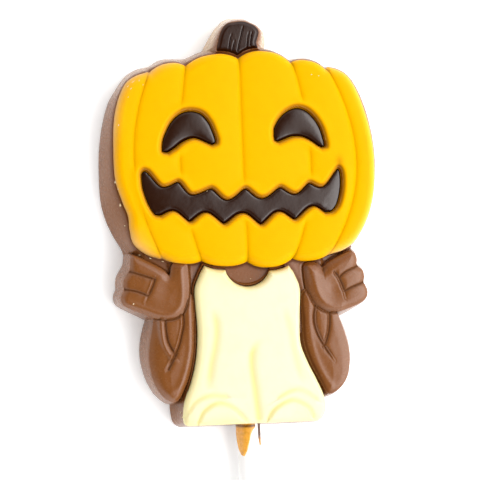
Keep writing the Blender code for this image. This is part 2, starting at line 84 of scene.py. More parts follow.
# Pumpkin: five grooves by their tops, middles and feet, between two bowed sides
GROOVES = (
    ((-19.5, 78.3), (-23.8, 59.5), (-18.6, 38.0)),
    ((-11.6, 79.5), (-13.9, 58.0), (-10.0, 37.0)),
    ((0.0, 80.9), (-0.2, 58.0), (0.0, 36.4)),
    ((11.6, 79.8), (14.8, 57.5), (10.1, 36.6)),
    ((19.4, 78.2), (25.1, 57.5), (18.1, 37.0)),
)
LEFT_SIDE = (
    (-20.0, 78.4), (-22.6, 77.6), (-24.8, 76.0), (-26.5, 72.6), (-27.6, 68.0), (-28.0, 62.0),
    (-27.9, 55.5), (-26.6, 50.6), (-25.5, 47.5), (-25.3, 44.5), (-24.6, 41.4), (-22.2, 39.1),
    (-19.3, 37.9),
)
RIGHT_SIDE = (
    (20.0, 78.7), (22.4, 77.9), (24.4, 76.5), (26.2, 73.6), (27.7, 69.6), (28.9, 65.0), (29.6, 60.0),
    (29.6, 54.5), (29.0, 49.5), (27.9, 45.6), (26.2, 42.2), (24.2, 39.6), (21.8, 38.0), (18.8, 37.2),
)
LOBE_TOPS = (0.0, 1.3, 1.7, 2.1, 1.2, 0.0)
LOBE_FEET = (0.0, 0.9, 1.1, 1.6, 0.9, 0.0)
LOBE_COLUMNS = (44, 60, 66, 66, 60, 44)
LOBE_ARC = 2.4
OUTER_LOBE_POWER = 1.3
PUMPKIN_ROWS = 250
PUMPKIN_CENTRE = (0.8, 58.0)
PUMPKIN_REACH = (30, 24)
BROAD_LOBE = 12
UNDER_FACE = 1.2
SWELL_CLEAR = (0.6, 2.6)
FACE_LIP_PLACE = 0.35
FACE_LIP_WIDTH = 0.16
MOUTH_TIP = (21.2, 57.4)
FAR = 9.0
HEAD_FOOT = (
    (31.7, 57.0), (31.6, 61.5), (31.0, 66.0), (30.0, 70.4), (28.6, 74.0), (26.5, 77.4), (23.6, 79.4),
    (20.6, 79.9), (19.2, 81.0), (16.6, 82.0), (13.8, 81.9), (12.2, 81.9), (9.7, 83.4), (6.0, 84.6),
    (-4.0, 84.8), (-8.2, 83.6), (-11.2, 82.4), (-13.7, 82.5), (-16.6, 82.3), (-19.1, 80.9),
    (-21.8, 80.3), (-24.5, 78.7), (-27.2, 75.1), (-28.8, 72.1), (-30.2, 67.0), (-31.0, 61.5),
    (-31.2, 56.5), (-31.1, 51.5), (-30.3, 47.4), (-28.9, 43.8), (-27.0, 40.3), (-26.0, 38.0),
    (-22.0, 36.0), (-10.0, 35.0), (10.0, 35.0), (20.0, 36.4), (24.6, 38.4), (26.9, 41.3),
    (29.2, 45.3), (30.9, 50.5),
)

# Face: eyes and mouth, each by an upper and a lower line from left to right. The points of its left
# and right sides lie between the ends of those lines.
FACE = {
    "eye_left": {
        "upper": (
            (-17.8, 61.8), (-17.3, 64.1), (-15.6, 67.3), (-13.4, 69.2), (-11.0, 69.7),
            (-8.7, 69.0), (-7.1, 67.1), (-6.2, 64.9), (-5.7, 63.2),
        ),
        "lower": (
            (-16.4, 60.5), (-14.9, 61.4), (-13.4, 62.5), (-12.0, 63.2), (-10.7, 63.45),
            (-9.3, 63.05), (-7.9, 62.35), (-6.9, 61.9),
        ),
        "left": ((-17.6, 60.8),),
        "right": ((-5.9, 62.3),),
    },
    "eye_right": {
        "upper": (
            (6.8, 63.6), (7.0, 65.5), (8.3, 67.6), (10.1, 69.1), (12.2, 69.75), (14.4, 69.15),
            (16.3, 67.3), (17.6, 64.9), (18.3, 62.1),
        ),
        "lower": (
            (7.9, 62.1), (9.4, 62.65), (10.8, 63.1), (12.4, 63.2), (13.9, 62.8), (15.3, 62.0),
            (16.5, 61.1), (17.4, 60.6),
        ),
        "left": ((7.0, 62.5),),
        "right": ((18.3, 60.9),),
    },
    "mouth": {
        "upper": (
            (-20.9, 56.8), (-17.7, 53.4), (-14.35, 54.6), (-11.6, 51.5), (-7.25, 52.85),
            (-4.0, 50.1), (0.1, 52.6), (3.6, 50.15), (7.8, 52.55), (11.0, 50.8), (14.3, 53.3),
            (16.9, 52.1), (20.6, 55.9),
        ),
        "lower": (
            (-18.6, 47.0), (-16.0, 48.05), (-12.3, 45.35), (-8.85, 47.4), (-4.9, 44.6),
            (-0.8, 46.95), (3.2, 44.1), (7.3, 46.95), (10.7, 44.9), (15.1, 47.8), (17.7, 46.2),
        ),
        "left": (
            (-21.7, 57.1), (-22.4, 56.5), (-22.5, 55.2), (-22.3, 53.0), (-21.6, 50.5),
            (-20.7, 48.5), (-19.8, 47.3),
        ),
        "right": (
            (21.1, 56.1), (21.6, 55.2), (21.7, 52.8), (21.3, 50.2), (20.5, 47.9), (19.2, 46.5),
        ),
    },
}
END_SHARE = 0.7
EYE_GRID = (40, 110)
MOUTH_GRID = (48, 420)
TOOTH_POINT = 0.6
LIP_STEPS = 900
LIP_AVERAGES = 110

# Stem: two sides from its tip down to its splayed foot, and its flutes
STEM_LEFT = ((0.2, 89.05), (-1.8, 88.75), (-3.1, 87.6), (-3.8, 86.1), (-4.2, 84.6), (-4.6, 83.2))
STEM_RIGHT = ((2.6, 88.8), (4.1, 88.05), (4.9, 86.9), (4.65, 85.6), (4.3, 84.4), (4.6, 83.2))
STEM_CENTRE = (0.5, 85.6)
STEM_FOOT = (
    (7.6, 85.2), (7.7, 86.6), (7.5, 87.9), (6.0, 89.5), (4.5, 90.3), (3.1, 91.2), (1.7, 91.4), (0.3, 91.4),
    (-1.0, 91.3), (-2.2, 90.6), (-3.1, 89.7), (-4.0, 88.8), (-4.6, 87.9), (-5.2, 87.0), (-5.8, 86.0),
    (-6.4, 85.0), (-7.0, 83.8), (-7.0, 82.6), (0.0, 80.0), (7.4, 82.6), (7.2, 84.0),
)
STEM_CLEAR = 0.6
STEM_CROWN = 0.15
STEM_FOOT_DIP = 0.4
STEM_FOOT_REACH = 0.9
FLUTE_STEPS = 16
FLUTE_FADE = 1.2
STEM_GRID = (90, 110)
FLUTES = (
    ((-1.1, 86.6), (-1.5, 85.2), (-1.9, 83.2)),
    ((-0.5, 85.2), (-0.8, 84.0), (-1.1, 82.8)),
    ((1.5, 88.3), (1.0, 86.2), (0.4, 84.2), (0.0, 82.5)),
    ((2.7, 87.0), (2.4, 85.4), (2.1, 83.2)),
    ((3.4, 87.0), (3.15, 85.4), (2.9, 83.8)),
)

# Robe: two draped sides, a round bib cut, folds and the arcs over two toes
ROBE_LEFT = (
    (-9.5, 35.9), (-10.6, 34.0), (-11.8, 31.0), (-11.8, 27.5), (-11.6, 22.0), (-12.1, 16.1),
    (-13.4, 11.0), (-14.9, 7.2), (-15.5, 3.8), (-15.45, 2.3), (-15.2, 1.65), (-14.6, 1.3),
)
ROBE_RIGHT = (
    (9.3, 35.0), (10.4, 33.2), (11.5, 29.8), (11.2, 24.0), (11.1, 18.2), (12.5, 13.8),
    (14.2, 10.1), (15.7, 6.5), (16.2, 4.0), (16.0, 2.5), (15.3, 1.3), (14.0, 0.55),
)
ROBE_CENTRE = (0.3, 17.0)
ROBE_FOOT = (
    (13.4, 20.0), (13.6, 28.0), (11.8, 35.0), (0.0, 36.5), (-11.8, 35.5), (-13.6, 30.0), (-13.6, 22.0),
    (-14.2, 16.0), (-15.8, 11.0), (-17.2, 7.8), (-17.75, 5.0), (-17.6, 2.6), (-17.2, 1.0), (-16.0, 0.0),
    (-14.0, -0.25), (0.0, -0.7), (14.0, -1.1), (16.5, -0.7), (17.55, 1.0), (17.7, 4.0), (17.0, 7.5),
    (14.8, 13.5),
)
ROBE_CLEAR = 0.75
ROBE_GRID = (210, 190)
BIB_CENTRE = (0.1, 36.0)
BIB_RADIUS = 5.1
ROBE_HALF = 16
LINE_STEPS = 40
FOLD_FADE = 3
TOE_RISE = 0.9
TOE_FADE = 4.5
FOLDS = (
    {"line": ((1.4, 19.6), (0.1, 17.0), (-0.3, 13.9), (0.3, 7.3), (0.9, 0.2)), "depth": 0.28},
    {"line": ((-8.3, 26.9), (-7.6, 23.0), (-8.0, 18.7), (-9.1, 14.4), (-9.8, 9.8)), "depth": 0.24},
    {"line": ((7.3, 26.6), (8.7, 19.9), (9.3, 15.4), (10.6, 10.0)), "depth": 0.12},
)
TOES = (
    {"arc": ((-12.1, 2.0), (-10.8, 4.3), (-8.0, 5.8), (-5.0, 4.6), (-2.4, 1.9)), "height": 0.3},
    {"arc": ((-14.2, 4.2), (-12.5, 6.4), (-9.6, 7.5), (-6.4, 7.1)), "height": 0.24},
    {"arc": ((3.3, 2.0), (4.8, 3.9), (8.2, 5.4), (11.4, 3.9), (12.6, 1.9)), "height": 0.3},
    {"arc": ((5.8, 6.3), (8.1, 7.4), (10.4, 7.4), (13.4, 5.4)), "height": 0.22},
)

# Sides of the coloured layers: ways out, and drops below the height where the layer rolls over
PUMPKIN_SIDE = ((0.02, 0.25), (0.05, 0.55), (0.08, 0.85), (0.1, 1.05), (0.0, 1.2))
FACE_SIDE = ((0.06, 0.3), (0.1, 0.8), (0.0, 0.9))
STEM_SIDE = ((0.1, 0.4), (0.22, 0.9), (0.1, 1.1))
ROBE_SIDE = ((0.05, 0.3), (0.1, 0.7), (0.0, 0.9))

# Rings of the lip round the robe: way out, share of its height, painted shade (crease mark) on the left and
# right
LIP_RINGS = (
    (0.0, 0.0, 0.8, 0.8), (0.2, 0.0, 0.8, 0.8), (0.34, 0.7, 0.2, 0.8),
    (0.48, 1.0, 0.0, 0.65), (0.62, 0.8, 0.2, 0.2), (0.76, 0.15, 0.7, 0.1),
)
LIP_RIGHT = 0.4
LIP_WALL = (0.05, 0.85)

# Walls: how they turn in at the table, and how far backs reach in and lie below the layers on them
WALL_STEPS = 20
WALL_SPACING = 1.3
WALL_MARK = (0.1, 0.6)
FOOT_STEPS = 400
WALL_TURN = 0.3
BACK_TUCK = 1.0
BACK_SINK = 0.1
ROBE_BACK_LIFT = 0.03
HEAD_WALL_SHADE = 0.35
LIFT = 0.01

# Chest: the milk chocolate that shows round the robe's neck and under the pumpkin
CHEST = (
    (-24.6, 40.3), (-24.9, 39.0), (-23.4, 37.3), (-18.0, 34.0), (-15.5, 32.0), (-13.0, 24.0), (-12.0, 20.0),
    (12.0, 20.0), (13.0, 24.0), (15.5, 31.5), (18.5, 34.0), (22.0, 36.0), (23.2, 37.6), (22.4, 39.4),
    (0.0, 42.0), (-20.0, 41.5),
)
CHEST_CENTRE = (0.0, 33.0)
CHEST_SIDE = ((0.2, 3.5), (0.3, 0.08))
CHEST_GRID = (70, 260)
SHELF_DROP = 0.6
NECK_HALF = 8
NECK_LEAN = 0.06
SHOULDER_MIDDLE = 14
SHOULDER_LEAN = 0.11

# Hands and sleeves, counter-clockwise from above. Edge heights and shoulder widths ("round") are
# given for the side towards the robe and the side away from it, and "top" is the height inside the
# shoulder, which "tilt" lowers outwards for each millimetre. The foot is the outline softened by
# "rounding" steps and spread by two amounts, at its sides and at its lower end. "shade" paints
# shade inside the inner edge. A crease has a lip at its side, or is doubled there, fades out at a
# free end, and is painted with shade. A ridge runs along a line, and a bowl has a centre, a radius
# and a depth.
LIMBS = {
    "hand_left": {
        "outline": (
            (-13.1, 31.0), (-13.1, 34.0), (-13.3, 36.4), (-14.4, 36.9), (-16.0, 36.8), (-16.7, 36.0),
            (-16.9, 34.8), (-17.3, 34.0), (-18.4, 35.3), (-21.7, 37.4), (-24.4, 38.7), (-25.2, 38.2),
            (-25.4, 36.9), (-25.5, 35.9), (-26.0, 35.0), (-26.8, 33.7), (-27.0, 32.3), (-27.0, 31.3),
            (-27.5, 30.3), (-27.6, 29.3), (-27.2, 28.4), (-26.0, 27.6), (-22.6, 26.2), (-20.0, 25.1),
            (-17.6, 24.7), (-15.4, 25.3), (-13.8, 27.4),
        ),
        "centre": (-17.6, 30.4), "spread": (1.7, 1.9), "rounding": 8,
        "edge": (8.7, 8.6), "top": 9.2, "round": (1.9, 1.4),
        "creases": (
            {"line": ((-28.0, 36.2), (-25.3, 35.3), (-22.2, 34.2), (-20.4, 33.5))},
            {"line": ((-28.0, 31.8), (-26.2, 31.5), (-24.4, 31.1), (-22.1, 30.1))},
            {"line": ((-20.4, 33.5), (-21.0, 32.0), (-21.8, 30.4), (-22.5, 28.8)),
             "lip": -1, "free": True},
        ),
        "ridges": (
            ((-26.6, 28.7), (-23.2, 27.3), (-20.2, 26.1), (-17.8, 25.7), (-15.7, 26.6), (-14.6, 29.0),
             (-14.6, 36.0)),
        ),
        "bowls": (((-18.0, 30.2), 2.4, 0.2),),
    },
    "hand_right": {
        "outline": (
            (12.8, 31.2), (13.3, 28.8), (14.6, 26.3), (16.4, 24.8), (18.8, 24.3), (21.8, 24.9), (25.0, 26.0),
            (26.5, 27.2), (26.8, 28.6), (26.4, 29.8), (26.0, 30.6), (26.2, 31.8), (25.9, 33.2), (24.9, 34.1),
            (24.6, 34.7), (24.7, 35.8), (24.2, 37.2), (23.0, 37.5), (20.0, 36.3), (17.9, 35.1), (16.9, 34.2),
            (16.0, 35.0), (14.6, 35.5), (13.2, 35.4), (12.6, 34.4),
        ),
        "centre": (18.2, 30.2), "spread": (1.7, 2.3), "rounding": 14,
        "edge": (8.6, 8.5), "top": 9.3, "round": (2.6, 1.8), "tilt": 0.045, "shade": 0.5,
        "creases": (
            {"line": ((25.4, 34.6), (23.8, 33.9), (22.2, 33.3), (20.9, 32.5), (20.4, 31.8))},
            {"line": ((19.6, 33.0), (20.4, 31.7), (21.0, 30.2), (21.5, 28.7), (21.8, 27.3)),
             "double": -1, "free": True},
            {"line": ((27.0, 31.0), (25.4, 30.4), (23.5, 29.8), (21.4, 28.9))},
            {"line": ((16.9, 34.0), (17.0, 31.8)), "free": True},
        ),
        "ridges": (
            ((13.5, 35.0), (14.0, 33.2), (14.7, 31.2), (15.6, 28.4), (16.7, 26.6), (18.4, 25.5),
             (20.6, 25.4)),
        ),
        "bowls": (((18.8, 29.4), 2.8, 0.55),),
    },
    "sleeve_left": {
        "outline": (
            (-12.2, 29.0), (-15.5, 30.0), (-18.8, 29.0), (-20.6, 26.0), (-21.3, 22.5), (-21.9, 19.2),
            (-22.15, 16.5), (-22.0, 14.2), (-21.5, 11.7), (-20.6, 9.6), (-19.4, 8.0), (-18.2, 7.1),
            (-17.1, 6.9), (-16.1, 7.6), (-15.0, 9.5), (-13.9, 12.1), (-12.9, 15.5), (-12.3, 19.4),
        ),
        "centre": (-17.0, 18.0), "spread": (1.9, 1.9), "rounding": 50,
        "edge": (8.3, 7.95), "top": 8.85, "round": (1.6, 3.0),
        "creases": (
            {"line": ((-18.5, 25.0), (-18.5, 22.5), (-18.2, 20.2), (-17.6, 18.6), (-16.8, 17.2)),
             "lip": -1, "broad": 2},
            {"line": ((-14.6, 26.0), (-14.6, 23.5), (-15.2, 21.0), (-15.8, 19.0), (-16.7, 17.2),
                      (-18.7, 13.9)), "lip": -1, "free": True},
            {"line": ((-18.3, 13.9), (-17.45, 15.4), (-16.5, 17.1), (-15.6, 19.0)), "free": True},
        ),
        "ridges": (
            ((-13.2, 28.0), (-13.15, 24.0), (-13.15, 20.0), (-13.6, 16.6), (-14.4, 13.6), (-15.4, 11.2),
             (-16.6, 9.6), (-18.0, 9.0)),
        ),
    },
    "sleeve_right": {
        "outline": (
            (12.0, 29.0), (11.8, 23.0), (11.9, 18.4), (13.0, 14.2), (14.9, 10.0), (16.3, 7.0), (17.2, 6.4),
            (18.5, 6.8), (20.2, 8.2), (21.4, 10.2), (21.9, 12.6), (22.0, 15.0), (21.6, 17.6), (20.8, 20.6),
            (19.9, 23.4), (18.8, 27.0), (16.0, 29.6),
        ),
        "centre": (16.8, 17.0), "spread": (2.1, 2.1), "rounding": 50,
        "edge": (8.75, 8.7), "top": 8.95, "round": (2.0, 2.2), "tilt": -0.015, "shade": 1.1,
        "creases": (
            {"line": ((14.8, 26.6), (14.25, 24.0), (14.3, 21.8), (15.0, 19.4), (16.0, 17.4),
                      (17.1, 15.5), (18.2, 13.6)), "double": 1, "free": True},
            {"line": ((17.9, 24.6), (17.75, 21.8), (17.2, 19.2), (16.3, 16.9)), "double": -1},
        ),
        "ridges": (
            ((13.2, 28.0), (13.1, 24.0), (13.15, 20.0), (13.6, 17.0), (14.3, 14.3), (15.3, 11.8), (16.5, 9.6),
             (17.4, 8.2)),
        ),
    },
}
LIMB_AROUND = 640
LIMB_RINGS = 120
LIMB_BULGE = (1.7, 1.3)
SLEEVE_UNDER_HAND = 1.6
HAND_STEPS = 200
CREASE_STEPS = 30
CREASE_FADE = 2.2
CREASE_SOFT = 2.8
CREASE_SOFT_SHARE = 0.35
DOUBLE_PLACE = 0.48
DOUBLE_SHARE = 0.55
CREASE_LIP_PLACE = 0.5
CREASE_LIP_WIDTH = 0.28
RIDGE_WIDTH = 0.75

# Smear of chocolate that ran on to the stick: its length at each share of the way round
SMEAR_FROM = 196.0
SMEAR_TO = 60.0
SMEAR_LENGTHS = ((0.0, 1.6), (0.1, 3.2), (0.27, 5.4), (0.41, 6.6), (0.52, 6.8), (0.64, 5.6), (0.74, 3.6),
                 (0.8, 2.0), (0.9, 0.9), (1.0, 0.4))
STREAK_FROM = 40.0
STREAK_TO = 6.0
STREAK_LENGTHS = ((0.0, 3.0), (0.4, 5.0), (0.7, 5.0), (1.0, 3.0))
STREAK_THIN = 0.8
FILM_GRID = (60, 70)
FILM_START = 1.2
FILM_ROLL = 0.7
FILM_SINK = 0.1

# Camera: a pinhole 240 mm above the figure, a little to its left
PHOTO_SIZE = 480.0
FOCAL_PIXELS = 1080.0
SENSOR = 36.0
CAMERA_YAW = 8.5
CAMERA_ROLL = -2.6
CAMERA_DISTANCE = 240.0
CAMERA_TARGET = (-0.8, 41.2, 5.0)

# Crumbs, chips and pale specks that stand in as painted highlights: place, radius, how many times
# longer than wide, and turn in degrees. They lie on seats.
CRUMBS = (
    (-27.8, 54.9, 0.22, 1.6, 80), (-27.3, 53.3, 0.12, 1.0, 0), (-27.0, 49.9, 0.2, 1.7, 95),
    (-26.2, 45.4, 0.14, 1.2, 0), (-25.2, 28.5, 0.13, 1.3, 20), (-24.3, 75.2, 0.06, 6.0, 40),
    (-23.2, 76.1, 0.055, 7.0, 35), (-21.9, 76.3, 0.05, 5.0, 80), (-23.7, 74.6, 0.05, 6.0, 45),
    (-21.1, 75.4, 0.04, 5.0, 80), (-24.4, 72.8, 0.06, 2.0, 60), (-26.7, 66.9, 0.1, 1.8, 80),
    (-23.3, 38.9, 0.08, 4.0, 160), (-21.1, 38.1, 0.1, 2.4, 150), (-18.4, 37.3, 0.08, 3.4, 165),
    (0.7, 32.6, 0.1, 1.0, 0), (15.8, 76.7, 0.07, 2.6, 20), (17.4, 76.4, 0.06, 2.0, 0),
    (-8.3, 52.1, 0.08, 1.2, 30), (-15.8, 4.2, 0.13, 3.0, 60), (-15.6, 3.3, 0.13, 2.2, 50),
)
CRUMB_AROUND = 12
CRUMB_RINGS = 6
CRUMB_HEIGHT = 0.8
CRUMB_SEATS = (
    "head_back", "robe_back", "chest", "hand_left", "sleeve_left", "pumpkin_shell", "mouth_inlay",
    "robe_shell",
)

# Studio: a bright softbox and a dim ceiling to the right, light walls, and dark overhead on the left
SOFTBOX_PLACE = (0.5, 0.0, 0.5)
SOFTBOX_SIZE = (0.6, 0.8)
SOFTBOX_POWER = 5.2
ROOM_DARK_FROM = 0.86
ROOM_BRIGHT_TO = 0.45
ROOM_BRIGHT = 2.35
ROOM_LEFT = 0.9
ROOM_LEAN = 0.21
CEILING_FROM = 0.09
CEILING_TO = 0.17
CEILING_BRIGHT = 1.4
FLOOR_GLOW = 0.22
FLOOR_REACH = 1.5
WHITE = (1.0, 1.0, 1.0, 1.0)


def length(name, description, millimetres):
    """Length for the panel, given in millimetres."""
    return FloatProperty(
        name=name, description=description, default=millimetres * MM, min=0, precision=5, unit="LENGTH"
    )


def colour(name, description, default):
    """Colour for the panel, linear."""
    return FloatVectorProperty(
        name=name, description=description, default=default, min=0, max=1, subtype="COLOR"
    )


class LollipopSizes(bpy.types.PropertyGroup):
    """Lengths that shape the chocolate."""

    pumpkin_edge: length("Pumpkin edge", "Height at which the yellow layer rolls over", 8.3)
    pumpkin_roll: length("Pumpkin roll", "Height of the yellow layer's rolled shoulder", 2.0)
    pumpkin_round: length("Pumpkin shoulder", "Width of the yellow layer's rolled shoulder", 2.0)
    pumpkin_dome: length("Pumpkin dome", "Rise of the whole pumpkin towards its middle", 0.35)
    lobe_swell: length("Lobe swell", "Rise of a broad lobe between its grooves", 0.28)
    groove_depth: length("Groove depth", "Depth of the sharp line between two lobes", 0.22)
    groove_width: length("Groove width", "Width of the sharp line between two lobes", 0.45)
    face_dip: length("Face dip", "How far the yellow rolls down to the eyes and mouth", 1.0)
    face_roll: length("Face roll", "Width of that roll", 1.15)
    face_lip: length("Face lip", "Height of the thin lip round the eyes and mouth", 0.14)
    face_top: length("Face height", "Height of the dark eyes and mouth at their rims", 9.95)
    face_dome: length("Face dome", "Rise of the dark inlays towards their middles", 0.45)
    face_bevel: length("Face bevel", "Rounding of the dark inlays' rims", 0.13)
    face_side: length("Face side", "Height of the inlays' sloping sides", 0.5)
    face_slope: length("Face slope", "Width of the inlays' sloping sides", 0.36)
    stem_edge: length("Stem edge", "Height at which the stem rolls over", 8.35)
    stem_roll: length("Stem roll", "Height of the stem's rolled shoulder", 0.45)
    stem_round: length("Stem shoulder", "Width of the stem's rolled shoulder", 0.9)
    flute_depth: length("Flute depth", "Depth of the stem's flutes", 0.22)
    flute_width: length("Flute width", "Width of the stem's flutes", 0.13)
    robe_edge: length("Robe edge", "Height at which the robe rolls over", 8.3)
    robe_roll: length("Robe roll", "Height of the robe's rolled shoulder", 1.2)
    robe_round: length("Robe shoulder", "Width of the robe's rolled shoulder", 1.2)
    robe_dome: length("Robe dome", "Rise of the robe towards its middle", 0.45)
    fold_width: length("Fold width", "Width of the robe's folds", 1.0)
    lip_height: length("Lip height", "Height of the thin lip round the robe", 0.6)
    crease_depth: length("Crease depth", "Depth of the creases in hands and sleeves", 0.34)
    crease_width: length("Crease width", "Width of the creases in hands and sleeves", 0.23)
    crease_lip: length("Crease lip", "Height of the lip beside a crease", 0.16)
    ridge_height: length("Ridge height", "Height of the ridges on hands and sleeves", 0.17)
    chest_height: length("Chest height", "Height of the milk chocolate round the neck", 8.0)
    smear_thickness: length("Smear thickness", "Thickness of the smear on the stick", 0.3)


class LollipopColours(bpy.types.PropertyGroup):
    """Linear colours of each chocolate and of the stick."""

    yellow: colour("Yellow", "Pumpkin", (0.75, 0.364, 0.0))
    # Painted shade in the pumpkin's grooves, and random mottling
    yellow_deep: colour("Deep yellow", "Pumpkin in its grooves", (0.62, 0.30, 0.0))
    # Painted shade round the eyes and mouth, partly the yellow thinning over the dark
    yellow_roll: colour("Rolled yellow", "Where the yellow thins towards the face", (0.20, 0.05, 0.0))
    # Painted shade at the bottom of the grooves
    yellow_groove: colour("Groove", "Bottom of the grooves, where they are deepest", (0.16, 0.085, 0.0))
    # Painted pale sheen on the yellow's edges, most on the right, and the crumbs' own pale colour
    yellow_veil: colour("Veil", "Pale film where the yellow thins out", (0.77, 0.58, 0.32))
    yellow_rim: colour("Rim", "Where the milk chocolate shows through the yellow", (0.42, 0.22, 0.07))
    dark: colour("Dark chocolate", "Eyes, mouth and stem", (0.022, 0.0072, 0.003))
    # Painted shade on the inlays' sides, in the flutes and at the stem's foot; also random mottling
    dark_wall: colour("Dark sides", "Their sides and flutes", (0.014, 0.002, 0.0005))
    milk: colour("Milk chocolate", "Body, hands and sleeves", (0.174, 0.060, 0.0145))
    # Painted pale reflection on walls facing right, on the head's top walls and on the stem's back
    milk_faded: colour("Faded milk", "Bloomed walls at the top and the right", (0.55, 0.41, 0.28))
    # Painted shade in creases, moats and recesses; also the smear's darker film
    milk_deep: colour("Deep milk chocolate", "Creases", (0.085, 0.027, 0.006))
    milk_pale: colour("Pale milk chocolate", "Bloom, and the walls near the table", (0.225, 0.092, 0.033))
    cream: colour("Cream", "Robe", (0.72, 0.64, 0.452))
    # Painted shade in the robe's folds, along its toes and at its rolled edge; also random mottling
    cream_deep: colour("Deep cream", "Robe's folds and edges", (0.70, 0.625, 0.22))
    stick: colour("Stick", "Round stick", (0.84, 0.825, 0.81))
    smear: colour("Smear", "Chocolate that ran on to the stick", (0.86, 0.40, 0.05))
    floor: colour("Floor", "Table under the lollipop", (0.97, 0.97, 0.97))


def sizes():
    """Panel's lengths, in millimetres."""
    group = bpy.context.scene.lollipop_sizes
    return SimpleNamespace(**{name: getattr(group, name) / MM for name in group.__annotations__})


def smooth(points, at, closed=False):
    """Catmull-Rom curve through the points, read at shares of its length, or in so many steps."""
    p = np.asarray(points, float)
    if closed:
        p = np.vstack([p[-1], p, p[0], p[1]])
    else:
        p = np.vstack([2 * p[0] - p[1], p, 2 * p[-1] - p[-2]])
    a, b, c, d = p[:-3], p[1:-2], p[2:-1], p[3:]
    t = np.linspace(0, 1, CURVE_STEPS, endpoint=False)[:, None, None]
    square, cube = a - 2.5 * b + 2 * c - 0.5 * d, (3 * (b - c) + d - a) / 2
    spans = b + t * (c - a) / 2 + t**2 * square + t**3 * cube
    fine = np.vstack([spans.transpose(1, 0, 2).reshape(-1, 2), p[-2]])
    return resample(fine, np.linspace(0, 1, at, endpoint=not closed) if np.isscalar(at) else at)


def resample(line, shares):
    """Read a line at shares of its length."""
    run = np.concatenate([[0.0], np.cumsum(np.hypot(*np.diff(line, axis=0).T))])
    return np.column_stack([np.interp(shares * run[-1], run, line[:, axis]) for axis in (0, 1)])


def beside(x, y, line):
    """Distance from each point to a line, positive on the line's left.

    For each stretch of the line the nearest spot is found by a dot product, kept within its ends.
    The smallest distance wins, and the sign of a cross product tells its side.
    """
    nearest = np.full(np.shape(x), np.inf)
    left = np.ones(np.shape(x))
    for (ax, ay), (bx, by) in zip(line[:-1], line[1:]):
        dx, dy = bx - ax, by - ay
        t = np.clip(((x - ax) * dx + (y - ay) * dy) / (dx * dx + dy * dy), 0, 1)
        away = (x - ax - t * dx) ** 2 + (y - ay - t * dy) ** 2
        closer = away < nearest
        nearest = np.where(closer, away, nearest)
        left = np.where(closer, np.where(dx * (y - ay) - dy * (x - ax) < 0, -1.0, 1.0), left)
    return left * np.sqrt(nearest)


def outside(x, y, loop, reach):
    """Distance from each point to a loop, negative inside it, and no more than reach.

    Only points near the loop's box are measured. A point is inside if a level line to its right
    crosses the loop an odd number of times.
    """
    far = np.full(np.shape(x), float(reach))
    low, high = loop.min(axis=0) - reach, loop.max(axis=0) + reach
    near = (x > low[0]) & (x < high[0]) & (y > low[1]) & (y < high[1])
    px, py = x[near], y[near]
    ring = np.vstack([loop, loop[:1]])
    odd = np.zeros(px.shape, bool)
    for (ax, ay), (bx, by) in zip(ring[:-1], ring[1:]):
        if ay != by:
            odd ^= ((ay > py) != (by > py)) & (px < ax + (py - ay) * (bx - ax) / (by - ay))
    far[near] = np.minimum(abs(beside(px, py, ring)), reach) * np.where(odd, -1, 1)
    return far


def ramp(value, start, end):
    """Straight rise from 0 where a value is at its start to 1 at its end, which may lie below."""
    return np.clip((value - start) / (end - start), 0, 1)


def step(value, start, end):
    """Smooth rise from 0 where a value is at its start to 1 at its end."""
    share = ramp(value, start, end)
    return share * share * (3 - 2 * share)


def roll(distance, width):
    """Quarter ellipse: 0 at an edge, rising steeply, and level at 1 from the given width inwards."""
    return np.sqrt(1 - (1 - ramp(distance, 0, width)) ** 2)


def shoulder(distance, width):
    """Rounded shoulder: 0 at an edge, rising at a slant, and level at 1 from the width inwards."""
    return 1 - (1 - ramp(distance, 0, width)) ** 1.8


def bell(distance, width):
    """Bell curve: 1 on a line, falling off beside it."""
    return np.exp(-((distance / width) ** 2))


def dense_ends(count, amount=0.5):
    """Shares from 0 to 1 that lie closer together at both ends."""
    t = np.linspace(0, 1, count)
    return (1 - amount) * t + amount * (1 - np.cos(pi * t)) / 2


def spread(loop, centre, side, low=None):
    """Move a loop outwards from a centre, towards its lower end by an amount of its own."""
    away = loop - np.asarray(centre)
    away = away / np.linalg.norm(away, axis=1)[:, None]
    end = np.where(away[:, 1:] < 0, side if low is None else low, side)
    return loop + away * (side + (end - side) * away[:, 1:] ** 2)


def widen(loop, amount):
    """Move each point of a counter-clockwise loop outwards, square to its neighbours."""
    along = np.roll(loop, -1, axis=0) - np.roll(loop, 1, axis=0)
    along /= np.linalg.norm(along, axis=1)[:, None]
    return loop + amount * np.column_stack([along[:, 1], -along[:, 0]])


def soften(loop, steps):
    """Average a closed loop along itself, which rounds its corners."""
    for _ in range(steps):
        loop = (np.roll(loop, 1, axis=0) + 2 * loop + np.roll(loop, -1, axis=0)) / 4
    return loop


def mix(first, second, share):
    """Straight mix of two values."""
    return first * (1 - share) + second * share


def at_height(loop, z):
    """Give a flat loop its height."""
    return np.column_stack([loop, np.broadcast_to(z, len(loop))])


def rim(grid):
    """Edge of a grid, counter-clockwise from above."""
    return np.concatenate([grid[:-1, 0], grid[-1, :-1], grid[:0:-1, -1], grid[0, :0:-1]])


def numbers(points, start=0):
    """Number the points of a grid."""
    rows, columns = points.shape[:2]
    return start + np.arange(rows * columns).reshape(rows, columns)


def belt(rows):
    """Quads between rows of point numbers, each row a closed loop below the one before it."""
    after = np.roll(rows, -1, axis=1)
    return np.stack([rows[:-1], rows[1:], after[1:], after[:-1]], axis=2).reshape(-1, 4).tolist()


def fan(hub, ring):
    """Triangles from a middle point to a ring."""
    return np.column_stack([np.full(len(ring), hub), ring, np.roll(ring, -1)]).tolist()


def stack(loops, top, foot):
    """Points and faces of loops joined from the top down, closed to a middle point at both ends."""
    loops = np.asarray(loops)
    rows = numbers(loops)
    points = np.vstack([loops.reshape(-1, 3), top, foot])
    return points, belt(rows) + fan(rows.size, rows[0]) + fan(rows.size + 1, rows[-1][::-1])


